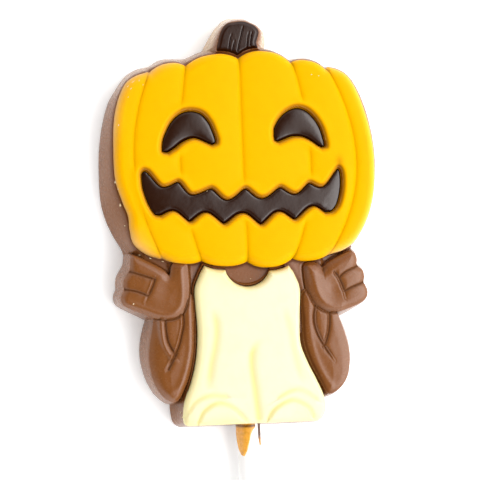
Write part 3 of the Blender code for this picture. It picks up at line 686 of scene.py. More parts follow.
def shell(sheet, walls, foot=None):
    """Points and faces of a grid with wall loops below its rim.

    With a foot the last loop is closed to that middle point. Without one it is closed by a flat
    copy of the grid, at the height of the last loop, whose rim is that loop.
    """
    walls = np.asarray(walls)
    grid = numbers(sheet)
    below = numbers(walls, grid.size)
    points = [sheet.reshape(-1, 3), walls.reshape(-1, 3)]
    faces = cells(grid) + belt(np.vstack([rim(grid), below]))
    if foot is None:
        inner = sheet[1:-1, 1:-1].copy()
        inner[:, :, 2] = walls[-1, 0, 2]
        under = np.zeros_like(grid)
        under.flat[rim(grid)] = below[-1]
        under[1:-1, 1:-1] = numbers(inner, grid.size + below.size)
        points.append(inner.reshape(-1, 3))
        faces += [face[::-1] for face in cells(under)]
    else:
        points.append(np.atleast_2d(foot))
        faces += fan(grid.size + below.size, below[-1][::-1])
    return np.vstack(points), faces


def cells(grid):
    """Quads of a grid of point numbers, facing up where its rows run down and its columns right."""
    corners = (grid[:-1, :-1], grid[1:, :-1], grid[1:, 1:], grid[:-1, 1:])
    return np.stack(corners, axis=2).reshape(-1, 4).tolist()


def new_piece(name, shape, material, slot, nodes, **marks):
    """Make a closed mesh from millimetres; each mark is one number for each of its points."""
    points, faces = shape
    mesh = bpy.data.meshes.new(name)
    mesh.from_pydata(((points + SHIFT) * MM).tolist(), [], faces)
    for mark, values in marks.items():
        attribute = mesh.attributes.new(mark, "FLOAT", "POINT")
        attribute.data.foreach_set("value", np.asarray(values, np.float32))
    mesh.shade_smooth()
    mesh.set_sharp_from_angle(angle=radians(SHARP_FROM))
    mesh.materials.append(material)
    piece = bpy.data.objects.new(name, mesh)
    bpy.context.scene.collection.objects.link(piece)
    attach(piece, "root")
    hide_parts(*nodes)
    return piece


class Nodes:
    """Short calls that add nodes to a shader tree; each gives the socket that it ends in."""

    def __init__(self, tree):
        self.tree = tree

    def add(self, kind, output, inputs=None, **settings):
        """Add a node; each input is a value or the socket that feeds it."""
        made = self.tree.nodes.new(f"ShaderNode{kind}")
        for key, value in settings.items():
            setattr(made, key, value)
        for key, value in (inputs or {}).items():
            if isinstance(value, bpy.types.NodeSocket):
                self.tree.links.new(value, made.inputs[key])
            else:
                made.inputs[key].default_value = value
        return made.outputs[output]

    def mark(self, name):
        """Read one of the piece's marks."""
        return self.add("Attribute", "Fac", attribute_name=name)

    def noise(self, scale, detail=3.0, stretch=None):
        """Noise on object coordinates; scale is in bumps for each metre."""
        place = self.add("TexCoord", "Object")
        if stretch:
            place = self.add("Mapping", "Vector", {"Vector": place, "Scale": stretch})
        return self.add("TexNoise", "Fac", {"Vector": place, "Scale": scale, "Detail": detail})

    def levels(self, value, low, high, to_low=0.0, to_high=1.0):
        """Stretch a value from one range to another, clamped."""
        ends = {"From Min": low, "From Max": high, "To Min": to_low, "To Max": to_high}
        return self.add("MapRange", "Result", {"Value": value, **ends})

    def speckle(self, scale, to_low, to_high, low=0.3, high=0.7, detail=3.0):
        """Noise stretched to a range of values."""
        return self.levels(self.noise(scale, detail), low, high, to_low, to_high)

    def join(self, first, second, operation="MULTIPLY"):
        """Join two numbers."""
        return self.add("Math", "Value", {0: first, 1: second}, operation=operation)


class Skin(Nodes):
    """Material with one Principled shader, its even values and the colour laid on so far."""

    def __init__(self, colour, **values):
        self.material = bpy.data.materials.new("finish")
        self.material.use_nodes = True
        super().__init__(self.material.node_tree)
        self.shader = self.tree.nodes["Principled BSDF"]
        self.colour = (*colour, 1.0)
        for socket, value in values.items():
            self.shader.inputs[socket.replace("_", " ")].default_value = value

    def paint(self, share, colour):
        """Mix another colour into the one laid on so far."""
        colours = {0: share, 6: self.colour, 7: (*colour, 1.0)}
        self.colour = self.add("Mix", 2, colours, data_type="RGBA")

    def feed(self, **sockets):
        """Join sockets to the shader."""
        for name, socket in sockets.items():
            self.tree.links.new(socket, self.shader.inputs[name.replace("_", " ")])

    def tooth(self, fine=1400.0, wide=180.0):
        """Relief of moulded chocolate: fine noise plus three times slow, broad waves."""
        return self.join(self.noise(fine, 4.0), self.join(self.noise(wide, 2.0), 3.0), "ADD")

    def done(self, rough, relief, strength, depth=0.12):
        """Join colour, roughness and a bump, in millimetres, and give the material."""
        bump = {"Height": relief, "Strength": strength, "Distance": depth * MM}
        self.feed(Base_Color=self.colour, Roughness=rough, Normal=self.add("Bump", "Normal", bump))
        return self.material


def yellow_chocolate(colours):
    """Yellow: painted shade, deeper and brown, in grooves and round the face, where the yellow also
    thins; tan where its edge thins, and pale with a painted sheen at its edges, most on the right.

    The milk chocolate shows through in a ragged line at the left rim. Grooves and the right side
    have less gloss.
    """
    skin = Skin(
        colours.yellow, Subsurface_Weight=0.12, Subsurface_Scale=0.0012,
        Subsurface_Radius=(1.0, 0.55, 0.12),
    )
    groove = skin.mark("groove")
    # Painted shade in grooves and round the face, and a painted pale sheen at the edges, over random mottling
    skin.paint(skin.levels(groove, 0.03, 0.5, 0.0, 0.8), colours.yellow_deep)
    skin.paint(skin.speckle(420.0, 0.0, 0.16, 0.45, 0.75), colours.yellow_deep)
    skin.paint(skin.levels(groove, 0.45, 1.0, 0.0, 0.9), colours.yellow_groove)
    skin.paint(skin.mark("face"), colours.yellow_roll)
    skin.paint(skin.mark("pale_edge_and_sheen"), colours.yellow_veil)
    ragged = skin.join(skin.mark("rim"), skin.speckle(1500.0, -0.06, 0.06, detail=4.0), "ADD")
    skin.paint(skin.levels(ragged, 0.05, 1.0), colours.yellow_rim)
    sheen = skin.levels(skin.mark("dull"), 0.0, 1.0, 0.034, 0.025)
    skin.feed(Specular_IOR_Level=skin.join(sheen, skin.levels(groove, 0.0, 0.25, 1.0, 0.2)))
    return skin.done(skin.speckle(900.0, 0.36, 0.46), skin.tooth(), 0.12)


def dark_chocolate(colours):
    """Dark: softly glossy on top; duller, with painted reddish-black shade, on its sides, in flutes and at
    the stem's foot; milk at the stem's rim.
    """
    skin = Skin(colours.dark)
    side = skin.mark("side")
    # Painted shade on sides, flutes and the stem's foot, then random mottling
    skin.paint(side, colours.dark_wall)
    skin.paint(skin.speckle(700.0, 0.0, 0.25, 0.5, 0.8, 4.0), colours.dark_wall)
    skin.paint(skin.mark("rim"), colours.milk)
    skin.feed(Specular_IOR_Level=skin.levels(side, 0.0, 0.9, 0.54, 0.07))
    return skin.done(skin.speckle(800.0, 0.17, 0.24), skin.tooth(1800.0, 300.0), 0.12)


def milk_chocolate(colours):
    """Milk: patches of bloom, paler down the walls, painted pale reflection on some, painted shade, dark and
    dull, in creases.
    """
    skin = Skin(
        colours.milk, Subsurface_Weight=0.05, Subsurface_Scale=0.001,
        Subsurface_Radius=(1.0, 0.4, 0.2),
    )
    crease, wall = skin.mark("crease"), skin.mark("wall")
    skin.paint(skin.speckle(260.0, 0.0, 0.15, 0.42, 0.78, 4.0), colours.milk_pale)
    skin.paint(skin.join(wall, skin.speckle(300.0, 0.22, 0.30)), colours.milk_pale)
    # Painted pale reflection on some walls, then painted shade in creases
    skin.paint(skin.mark("fade"), colours.milk_faded)
    skin.paint(crease, colours.milk_deep)
    gloss = skin.levels(crease, 0.0, 0.9, 0.42, 0.05)
    skin.feed(Specular_IOR_Level=skin.join(gloss, skin.levels(wall, 0.0, 1.0, 1.0, 0.5)))
    return skin.done(skin.speckle(900.0, 0.22, 0.30), skin.tooth(1600.0, 240.0), 0.16)


def cream_chocolate(colours):
    """Cream: smooth, with painted shade, yellower, in folds, under toes and where it rolls down at its edge,
    widest on the left.
    """
    skin = Skin(
        colours.cream, Specular_IOR_Level=0.25, Subsurface_Weight=0.2, Subsurface_Scale=0.0015,
        Subsurface_Radius=(1.0, 0.8, 0.45),
    )
    skin.paint(skin.levels(skin.mark("fold"), 0.0, 1.0, 0.0, 0.8), colours.cream_deep)
    skin.paint(skin.speckle(300.0, 0.0, 0.12, 0.45, 0.8), colours.cream_deep)
    return skin.done(skin.speckle(900.0, 0.32, 0.44), skin.tooth(), 0.14)


def stick_paper(colours):
    """Stick: smooth white with a faint grain along it."""
    skin = Skin(colours.stick, Specular_IOR_Level=0.4)
    grain = skin.noise(900.0, stretch=(1.0, 0.05, 1.0))
    skin.paint(skin.levels(grain, 0.4, 0.7, 0.0, 0.08), colours.milk_pale)
    return skin.done(skin.levels(grain, 0.3, 0.7, 0.36, 0.5), grain, 0.1, 0.05)


def smear_chocolate(colours):
    """Smear: thin glossy chocolate, orange-brown where the stick shines through it, darker where its thick
    mark is set, which includes painted shadow under the hem.
    """
    skin = Skin(colours.smear, Specular_IOR_Level=0.5)
    skin.paint(skin.mark("thick"), colours.milk_deep)
    skin.paint(skin.speckle(900.0, 0.0, 0.3, 0.45, 0.75), colours.milk)
    return skin.done(skin.speckle(1200.0, 0.2, 0.36), skin.noise(900.0), 0.3, 0.15)


def crumb_chocolate(colours):
    """Crumbs: pale chocolate dust and chips, and pale specks that are painted highlights."""
    skin = Skin(colours.cream, Specular_IOR_Level=0.4)
    skin.paint(skin.speckle(500.0, 0.0, 1.0), colours.yellow_veil)
    return skin.done(skin.speckle(900.0, 0.3, 0.5), skin.noise(1500.0), 0.2, 0.05)


def finish_of(make):
    """Fetch a material by its function's name, or make it on its first use."""
    name = f"{make.__name__}_finish"
    material = bpy.data.materials.get(name) or make(bpy.context.scene.lollipop_colours)
    material.name = name
    return material


def survey(plan, loop, reach):
    """Coordinates of a flat grid's points, and how far each lies inside a loop."""
    x, y = plan[:, :, 0], plan[:, :, 1]
    return x, y, -outside(x, y, loop, reach)


def layer(name, plan, z, top, profile, centre, material, slot, solid, **marks):
    """Make a coloured layer: a grid with its heights, a side down from its rim and an underside.

    The side's profile tells how far out each of its loops lies, and how far below the top. Each
    mark is its values on the grid and its value on the side.
    """
    loop = rim(plan)
    walls = [
        at_height(spread(loop, centre, away) if centre else widen(loop, away), top - drop)
        for away, drop in profile
    ]
    foot = (*centre, top - profile[-1][1]) if centre else None
    points, faces = shell(np.dstack([plan, z]), walls, foot)
    rest = len(points) - z.size
    marks = {
        key: np.append(np.clip(values, 0, 1), np.full(rest, below))
        for key, (values, below) in marks.items()
    }
    return new_piece(name, (points, faces), finish_of(material), slot, [solid], **marks)


def groove_line(top, middle, foot, share):
    """Bow of one groove: two parabolas that meet upright at its middle."""
    t = 2 * share[:, None] - 1
    end = np.where(t < 0, top, foot)
    return np.asarray(middle) + (end - np.asarray(middle)) * np.hstack([t**2, abs(t)])


def pumpkin_plan():
    """Flat grid of the pumpkin's lobes, and how far each column is across its own lobe, 0 to 1.

    Between two grooves a point is a straight mix of both, pushed out into an arc at the top and
    the foot. Rows and the outermost columns lie closer together towards the outline.
    """
    share = dense_ends(PUMPKIN_ROWS)
    lines = [smooth(LEFT_SIDE, share)]
    lines += [groove_line(*points, share) for points in GROOVES]
    lines += [smooth(RIGHT_SIDE, share)]
    v = share[:, None]
    columns, across = [], []
    for number, count in enumerate(LOBE_COLUMNS):
        u = np.linspace(0, 1, count, endpoint=False)
        if number == 0:
            u = u**OUTER_LOBE_POWER
        if number == len(LOBE_COLUMNS) - 1:
            u = 1 - (1 - u) ** OUTER_LOBE_POWER
        lobe = mix(lines[number][:, None], lines[number + 1][:, None], u[:, None])
        arc = 1 - abs(2 * u - 1) ** LOBE_ARC
        lobe[:, :, 1] += arc * (LOBE_TOPS[number] * (1 - v) ** 3 - LOBE_FEET[number] * v**3)
        columns.append(lobe)
        across.append(u)
    columns.append(lines[-1][:, None, :])
    across.append([0.0])
    return np.concatenate(columns, axis=1), np.concatenate(across)


def lip_line(turns, count):
    """Wavy line of a lip, with low turning points round and high ones more pointed.

    Between two turning points the height follows half a cosine; towards a high one it is mixed
    with a quarter cosine, which arrives there at a slant. Averaging blunts the points a little.
    """
    turns = np.asarray(turns)
    x = np.linspace(turns[0, 0], turns[-1, 0], LIP_STEPS)
    span = np.clip(np.searchsorted(turns[:, 0], x, side="right") - 1, 0, len(turns) - 2)
    a, b = turns[span], turns[span + 1]
    t = (x - a[:, 0]) / (b[:, 0] - a[:, 0])
    t = np.where(b[:, 1] > a[:, 1], t, 1 - t)
    low, high = np.minimum(a[:, 1], b[:, 1]), np.maximum(a[:, 1], b[:, 1])
    rise = mix((1 - np.cos(pi * t)) / 2, 1 - np.cos(pi * t / 2), TOOTH_POINT)
    line = np.column_stack([x, low + (high - low) * rise])
    for _ in range(LIP_AVERAGES):
        line[1:-1] = (line[:-2] + 2 * line[1:-1] + line[2:]) / 4
    return resample(line, np.linspace(0, 1, count))


def span_grid(upper, lower, left, right):
    """Grid between four sides that meet at their corners (a Coons patch).

    A point is the mix of upper and lower, plus the mix of left and right, less the straight mix
    of the four corners.
    """
    u = np.linspace(0, 1, len(upper))[None, :, None]
    v = np.linspace(0, 1, len(left))[:, None, None]
    ruled = mix(upper, lower, v) + mix(left[:, None], right[:, None], u)
    return ruled - mix(mix(upper[0], upper[-1], u), mix(lower[0], lower[-1], u), v)


def face_grids():
    """Flat grids of both eyes and the mouth."""
    grids = {}
    for name, part in FACE.items():
        upper, lower = part["upper"], part["lower"]
        rows, columns = MOUTH_GRID if name == "mouth" else EYE_GRID
        sides = [
            smooth((upper[end], *part[side], lower[end]), dense_ends(rows, END_SHARE))
            for end, side in ((0, "left"), (-1, "right"))
        ]
        if name == "mouth":
            upside_down = np.array([1, -1])
            lines = lip_line(upper, columns), lip_line(lower * upside_down, columns) * upside_down
        else:
            lines = [smooth(line, dense_ends(columns, END_SHARE)) for line in (upper, lower)]
        grids[name] = span_grid(*lines, *sides)
    return grids


def pumpkin_sheet(plan, across):
    """Heights and marks of the pumpkin.

    Height is the edge, plus a quarter ellipse over the shoulder, plus a shallow dome, a round
    swell on each lobe and a sharp line in each groove, less a rolled dip round eyes and mouth,
    where a thin lip stands. Swell and grooves even out near the face. Marks are bells and
    exponentials of the distance to grooves, face and outline.
    """
    s = sizes()
    x, y, inset = survey(plan, rim(plan), 4.0)
    width = np.empty_like(x)
    starts = np.cumsum((0,) + LOBE_COLUMNS)
    for first, last in zip(starts[:-1], starts[1:]):
        width[:, first:last] = np.hypot(*np.moveaxis(plan[:, last] - plan[:, first], 1, 0))[:, None]
    width[:, -1] = width[:, -2]
    column = np.arange(len(across))
    outermost = (column < LOBE_COLUMNS[0] / 2) | (column > column[-1] - LOBE_COLUMNS[-1] / 2)
    to_groove = np.where(outermost, FAR, np.minimum(across, 1 - across) * width)
    gap = np.full_like(x, FAR)
    for grid in face_grids().values():
        gap = np.minimum(gap, outside(x, y, rim(grid), 3.0))
    clear = step(gap, *SWELL_CLEAR)

    lobes = s.lobe_swell * (1 - (2 * across - 1) ** 2) * ramp(width, 0, BROAD_LOBE)
    lobes = lobes + s.groove_depth * (1 - np.exp(-to_groove / s.groove_width))
    lobes = mix(s.lobe_swell + s.groove_depth, lobes, clear)
    centre, reach = PUMPKIN_CENTRE, PUMPKIN_REACH
    hill = 1 - ((x - centre[0]) / reach[0]) ** 2 / 2 - ((y - centre[1]) / reach[1]) ** 2 / 2
    rise = s.pumpkin_roll + s.pumpkin_dome * hill + lobes
    z = s.pumpkin_edge + roll(inset, s.pumpkin_round) * rise
    z -= s.face_dip * (1 - ramp(gap, 0, s.face_roll)) ** 2
    z += s.face_lip * bell(gap - FACE_LIP_PLACE, FACE_LIP_WIDTH)
    z -= UNDER_FACE * ramp(gap, 0, -0.5)

    # Face mark: painted shade round the eyes and mouth, stronger on their upper and right sides and above the
    # mouth's right tip, partly the yellow thinning over the dark
    fall = np.gradient(gap, axis=1) / np.gradient(x, axis=1)
    fall = fall + np.gradient(gap, axis=0) / np.gradient(y, axis=0)
    face = bell(gap, 0.14) + bell(gap - 0.4, 0.34) * (0.34 + 0.4 * step(fall, -1, 1))
    face += 0.42 * bell(np.hypot(x - MOUTH_TIP[0], (y - MOUTH_TIP[1]) / 1.5), 0.8) * (gap > 0)
    left = step(x, -12, -20)
    thin = left + 0.25 * step(y, 74, 77) * (1 - left)
    edge = np.clip(inset, 0, None)
    ends = ramp(inset, 7, 0) ** 1.5
    # Paler at the outline: a painted sheen on the right, and pale edges at the lower and upper left
    right_veil = np.exp(-edge / 0.5) * step(x, 16, 22) * (0.4 + 0.4 * step(y, 52, 44))
    lower_veil = 0.5 * np.exp(-edge / 1.1) * step(x, -19, -23) * step(y, 46, 41)
    upper_veil = 0.5 * np.exp(-edge / 0.5) * step(x, -12, -17) * step(y, 60, 68)
    # Groove mark: painted shade along the grooves, strongest near the outline
    groove = 0.34 * bell(to_groove, 0.42) * (0.35 + 1.5 * ends) + 0.16 * bell(to_groove, 0.9)
    return z, {
        "groove": (groove * clear, 0),
        "dull": (step(x, 2, 26), 0),
        "face": (face, 0),
        "rim": (np.exp(-edge / 0.42) * thin + 0.5 * bell(gap - 0.2, 0.08), 1),
        "pale_edge_and_sheen": (right_veil + lower_veil + upper_veil, 0),
    }


class LOLLIPOP_OT_pumpkin(bpy.types.Operator):
    """Add the yellow layer of the pumpkin"""

    bl_idname = "chocolate_lollipop.pumpkin"
    bl_label = "Pumpkin"

    def execute(self, context):
        plan, across = pumpkin_plan()
        z, marks = pumpkin_sheet(plan, across)
        layer("pumpkin_shell", plan, z, sizes().pumpkin_edge, PUMPKIN_SIDE, PUMPKIN_CENTRE,
              yellow_chocolate, "yellow_chocolate", "pumpkin", **marks)
        return {"FINISHED"}


class LOLLIPOP_OT_face(bpy.types.Operator):
    """Add the dark inlays of the eyes and the mouth"""

    bl_idname = "chocolate_lollipop.face"
    bl_label = "Face"

    def execute(self, context):
        s = sizes()
        for name, plan in face_grids().items():
            x, y, inset = survey(plan, rim(plan), 4.0)
            fall = np.gradient(inset, axis=0) / np.gradient(y, axis=0)
            slope = s.face_slope * (0.75 + step(fall, 0, 1))
            z = s.face_top - s.face_side * (1 - ramp(inset, 0, slope) ** 0.8)
            z -= s.face_bevel * (1 - roll(inset - slope, 0.6))
            across, along = (abs(np.linspace(-1, 1, count)) for count in x.shape)
            along = 1 - along ** (8 if name == "mouth" else 2)
            z += s.face_dome * along * (1 - across[:, None] ** 2)
            # Side mark: painted shade on the inlays' sloping sides
            layer(f"{name}_inlay", plan, z, s.face_top - s.face_side, FACE_SIDE, None,
                  dark_chocolate, "dark_chocolate", name, side=(1.6 - inset / slope, 1))
        return {"FINISHED"}


def side_grid(left, right, shape, top_line, foot_line):
    """Grid between two sides, bent so that its first and last rows follow the given lines."""
    rows, columns = (dense_ends(count, 0.4) for count in shape)
    plan = mix(smooth(left, rows)[:, None], smooth(right, rows)[:, None], columns[:, None])
    inside = (columns > 0) & (columns < 1)
    v = rows[:, None]
    for row, line, pull in ((0, top_line, (1 - v) ** 3), (-1, foot_line, v**3)):
        x, y = plan[row].T
        plan[:, :, 1] += np.where(inside, line(x) - y, 0) * pull
    return plan


def stem_plan(pumpkin_top):
    """Flat grid of the stem: its foot follows the lobes below it and its tip is a low arc."""
    def crown(x):
        (left_x, left_y), (right_x, right_y) = STEM_LEFT[0], STEM_RIGHT[0]
        t = (x - left_x) / (right_x - left_x)
        return mix(left_y, right_y, t) + STEM_CROWN * 4 * t * (1 - t)

    def foot(x):
        return np.interp(x, *pumpkin_top.T) + STEM_CLEAR

    return side_grid(STEM_LEFT, STEM_RIGHT, STEM_GRID, crown, foot)


def robe_plan(pumpkin_foot):
    """Flat grid of the robe: it hangs from under the pumpkin, round the bib, to a straight hem."""
    def neck(x):
        line = np.interp(x, *pumpkin_foot.T) - ROBE_CLEAR
        reach = np.clip(BIB_RADIUS**2 - (x - BIB_CENTRE[0]) ** 2, 0, None)
        return np.where(reach > 0, np.minimum(line, BIB_CENTRE[1] - np.sqrt(reach)), line)

    def hem(x):
        return np.interp(x, *zip(ROBE_LEFT[-1], ROBE_RIGHT[-1]))

    return side_grid(ROBE_LEFT, ROBE_RIGHT, ROBE_GRID, neck, hem)


class LOLLIPOP_OT_stem(bpy.types.Operator):
    """Add the pumpkin's dark, fluted stem"""

    bl_idname = "chocolate_lollipop.stem"
    bl_label = "Stem"

    def execute(self, context):
        s = sizes()
        plan = stem_plan(pumpkin_plan()[0][0])
        x, y, inset = survey(plan, rim(plan), 3.0)
        cut = np.zeros_like(x)
        for line in FLUTES:
            flute = bell(beside(x, y, smooth(line, FLUTE_STEPS)), s.flute_width)
            cut = np.maximum(cut, flute * step(y, line[0][1], line[0][1] - FLUTE_FADE))
        low = ramp(y - plan[-1, :, 1], STEM_FOOT_REACH, 0)
        z = s.stem_edge + s.stem_roll * shoulder(inset, s.stem_round)
        z -= s.flute_depth * cut + STEM_FOOT_DIP * low**2
        # Side mark: painted shade in the flutes, in the dip at the foot and along the outline
        layer("stem_shell", plan, z, s.stem_edge, STEM_SIDE, STEM_CENTRE,
              dark_chocolate, "dark_chocolate", "stem",
              side=(0.8 * cut + low + 0.9 * np.exp(-inset / 0.8), 1),
              rim=(0.35 * np.exp(-inset / 0.2) * step(x, 1, -1) * (1 - low), 0))
        return {"FINISHED"}


class LOLLIPOP_OT_robe(bpy.types.Operator):
    """Add the cream robe with its folds and toes"""

    bl_idname = "chocolate_lollipop.robe"
    bl_label = "Robe"

    def execute(self, context):
        s = sizes()
        plan = robe_plan(pumpkin_plan()[0][-1])
        x, y, inset = survey(plan, rim(plan), 4.0)
        rolled = roll(inset, s.robe_round)
        dome = s.robe_dome * (1 - ((x - ROBE_CENTRE[0]) / ROBE_HALF) ** 2)
        z = s.robe_edge + rolled * (s.robe_roll + dome)
        # Fold mark: painted shade where the robe rolls down at its edge, wider on the left, in the folds and
        # along the toes' arcs
        mark = 0.7 * bell(inset, 0.8 + 0.9 * step(x, 0, -6))
        for fold in FOLDS:
            line = smooth(fold["line"], LINE_STEPS)
            low, high = np.sort(line[[0, -1], 1])
            fade = ramp(np.minimum(y - low + 1, high - y), 0, FOLD_FADE)
            cut = bell(beside(x, y, line), s.fold_width) * fade
            z -= fold["depth"] * cut * rolled
            mark = np.maximum(mark, fold["depth"] / FOLDS[0]["depth"] * cut)
        for toe in TOES:
            gap = beside(x, y, smooth(toe["arc"], LINE_STEPS))
            below = ramp(gap, TOE_RISE / 2, -TOE_RISE / 2) * ramp(abs(gap), TOE_FADE, 0)
            z += toe["height"] * (below - 0.4 * bell(gap - 0.5, 0.5)) * rolled
            mark = np.maximum(mark, 3.2 * toe["height"] * bell(gap - 0.25, 0.6))
        layer("robe_shell", plan, z, s.robe_edge, ROBE_SIDE, ROBE_CENTRE,
              cream_chocolate, "cream_chocolate", "robe", fold=(mark, 1))
        return {"FINISHED"}


def sloping_wall(loop, foot, top, bulge):
    """Loops of a mould's sloping wall from a height down to its foot on the table.

    Height falls with a power of the way out, so that a bulge over 1 rounds the wall's shoulder. Its
    last 0.3 mm turn in to the table. Beside the loops stand their marks, 0 at the top of the wall.
    """
    loops, marks = [], []
    for share in np.linspace(0, 1, WALL_STEPS) ** WALL_SPACING:
        loops.append(at_height(mix(loop, foot, share), top - (top - WALL_TURN) * share**bulge))
        marks.append(step(share, *WALL_MARK))
    for turn in (0.5, 1.0):
        flat = spread(foot, loop.mean(axis=0), 0.03 - 0.2 * turn**2)
        loops.append(at_height(flat, WALL_TURN * (1 - turn)))
        marks.append(1.0)
    return loops, marks


def foot_under(loop, centre, outline):
    """Spread each point of a loop along its ray from a centre until it meets the outline."""
    ray = loop - np.asarray(centre)
    way = smooth(outline, FOOT_STEPS, closed=True) - np.asarray(centre)
    turn, turns = (np.arctan2(*line.T[::-1]) for line in (ray, way))
    reach = np.interp(turn, turns, np.hypot(*way.T), period=2 * pi)
    return np.asarray(centre) + ray / np.hypot(*ray.T)[:, None] * reach[:, None]


def robe_lip(loop, top):
    """Rings of the thin lip round the robe, their marks of painted shade, and the loop its wall starts at.

    The lip is flat at the hem, full 4 mm further up, and lower on the right, where the painted
    shade beside it is wider.
    """
    full = ramp(loop[:, 1], 6, 10)
    right = step(loop[:, 0], 0, 4)
    height = sizes().lip_height * full * (1 - (1 - LIP_RIGHT) * right)
    out = mix(LIP_WALL[0], 1.0, full)[:, None]
    rings, creases = [], []
    for away, rise, left_crease, right_crease in LIP_RINGS:
        rings.append(at_height(spread(loop, ROBE_CENTRE, away * out), top + height * rise))
        creases.append(mix(left_crease, right_crease, right))
    return rings, creases, spread(loop, ROBE_CENTRE, mix(*LIP_WALL, full)[:, None])


class LOLLIPOP_OT_backs(bpy.types.Operator):
    """Add the milk chocolate backs of pumpkin, stem and robe"""

    bl_idname = "chocolate_lollipop.backs"
    bl_label = "Backs"

    def execute(self, context):
        s = sizes()
        plan = pumpkin_plan()[0]
        backs = (
            ("head_back", rim(plan)[::2], PUMPKIN_CENTRE, HEAD_FOOT, s.pumpkin_edge, 1.7),
            ("stem_back", rim(stem_plan(plan[0])), STEM_CENTRE, STEM_FOOT, s.stem_edge, 1.5),
            ("robe_back", rim(robe_plan(plan[-1])), ROBE_CENTRE, ROBE_FOOT, s.chest_height, 1.0),
        )
        for number, (name, loop, centre, outline, top, bulge) in enumerate(backs):
            foot = foot_under(loop, centre, outline)
            if name == "robe_back":
                top += ROBE_BACK_LIFT
                inner, creases, start = robe_lip(loop, top)
            else:
                top -= BACK_SINK
                inner = [at_height(spread(loop, centre, -BACK_TUCK), top - BACK_TUCK / 2)]
                creases, start = [0 * loop[:, 0]], loop
            wall, share = sloping_wall(start, foot, top, bulge)
            # Painted shade at the top of the head's wall
            dark = HEAD_WALL_SHADE if name == "head_back" else 0.0
            creases += [np.full(len(loop), dark * max(0.0, 1 - 3 * value)) for value in share]
            walls = [0.0] * len(inner) + share
            # Fade mark: painted pale reflection on walls facing right and on the head's top walls, and over
            # the stem's whole back
            spot = foot - np.asarray(centre)
            right = step(spot[:, 0] / np.hypot(*spot.T), 0.2, 1.2)
            fade = 0.8 * np.clip(right + 0.4 * step(foot[:, 1], 72, 78), 0, 1)
            if name == "stem_back":
                fade = np.full(len(loop), 0.85)
            lift = LIFT * number
            shape = stack(np.add(inner + wall, (0, 0, lift)), (*centre, top + lift), (*centre, lift))
            new_piece(
                name, shape, finish_of(milk_chocolate), "milk_chocolate", ["milk_body"],
                fade=np.append(np.outer(walls, fade), [0, 0]),
                crease=np.append(creases, [0, 0]),
                wall=np.append(np.repeat(walls, len(loop)), [0, 1]),
            )
        return {"FINISHED"}


def ring_grid(loop, centre, rings):
    """Rings from near a centre out to a loop, closer together towards the loop."""
    share = np.sin(np.linspace(0, 1, rings + 1)[1:] * pi / 2) ** 0.9
    return np.asarray(centre) + (loop - np.asarray(centre))[None] * share[:, None, None]


def outwards(x, limb):
    """Share from 0 on a limb's side towards the robe to 1 on its side towards the outline."""
    centre = limb["centre"][0]
    return ramp(np.sign(centre) * (x - centre), -2.5, 2.5)


def hand_loop(name):
    """Coarse outline of a hand, to measure distances from."""
    return smooth(LIMBS[name]["outline"], HAND_STEPS, closed=True)


def limb_top(x, y, limb, loop):
    """Height and crease mark of a hand or sleeve.

    Height is the edge plus a rounded shoulder and a slow rise inwards, less its tilt, a bell for
    each bowl and two bells, one narrow and one wide, along each crease. Ridges and lips are bells
    that are added. The mark is painted shade: it follows the creases, and a band inside the edge
    towards the robe.
    """
    s = sizes()
    inset = -outside(x, y, loop, 6.0)
    outer = outwards(x, limb)
    edge = mix(*limb["edge"], outer)
    width = mix(*limb["round"], outer) * (0.4 + 0.6 * step(y, 7, 15))
    z = edge + (limb["top"] - edge) * shoulder(inset, width) + 0.25 * ramp(inset, 0, 4)
    z -= limb.get("tilt", 0.0) * (x - limb["centre"][0]) * ramp(inset, 0, 1.5)
    inner = ramp(inset, 0, 0.5)
    mark = limb.get("shade", 0.0) * bell(inset - 0.25, 0.38) * (1 - outer)
    cut = 0.0 * x
    for crease in limb["creases"]:
        line = smooth(crease["line"], CREASE_STEPS)
        gap = beside(x, y, line)
        fade = 1.0
        if crease.get("free"):
            fade = np.clip(np.hypot(x - line[-1, 0], y - line[-1, 1]) / CREASE_FADE, 0.15, 1)
        width = s.crease_width
        profile = mix(bell(gap, width), bell(gap, CREASE_SOFT * width), CREASE_SOFT_SHARE)
        if "double" in crease:
            second = bell(crease["double"] * gap - DOUBLE_PLACE, width)
            profile = np.maximum(profile, DOUBLE_SHARE * second)
        if "lip" in crease:
            broad = crease.get("broad", 1)
            away = crease["lip"] * gap - CREASE_LIP_PLACE * broad
            lip = bell(away, CREASE_LIP_WIDTH * broad)
            z += s.crease_lip * broad * lip * inner * fade
        cut = np.maximum(cut, fade * profile)
    mark = np.maximum(mark, 0.9 * cut)
    z -= s.crease_depth * cut * (0.6 + 0.4 * inner)
    for middle, radius, depth in limb.get("bowls", ()):
        z -= depth * bell(np.hypot(x - middle[0], y - middle[1]), radius)
    for ridge in limb["ridges"]:
        z += s.ridge_height * bell(beside(x, y, smooth(ridge, LINE_STEPS)), RIDGE_WIDTH) * inner
    return z, mark


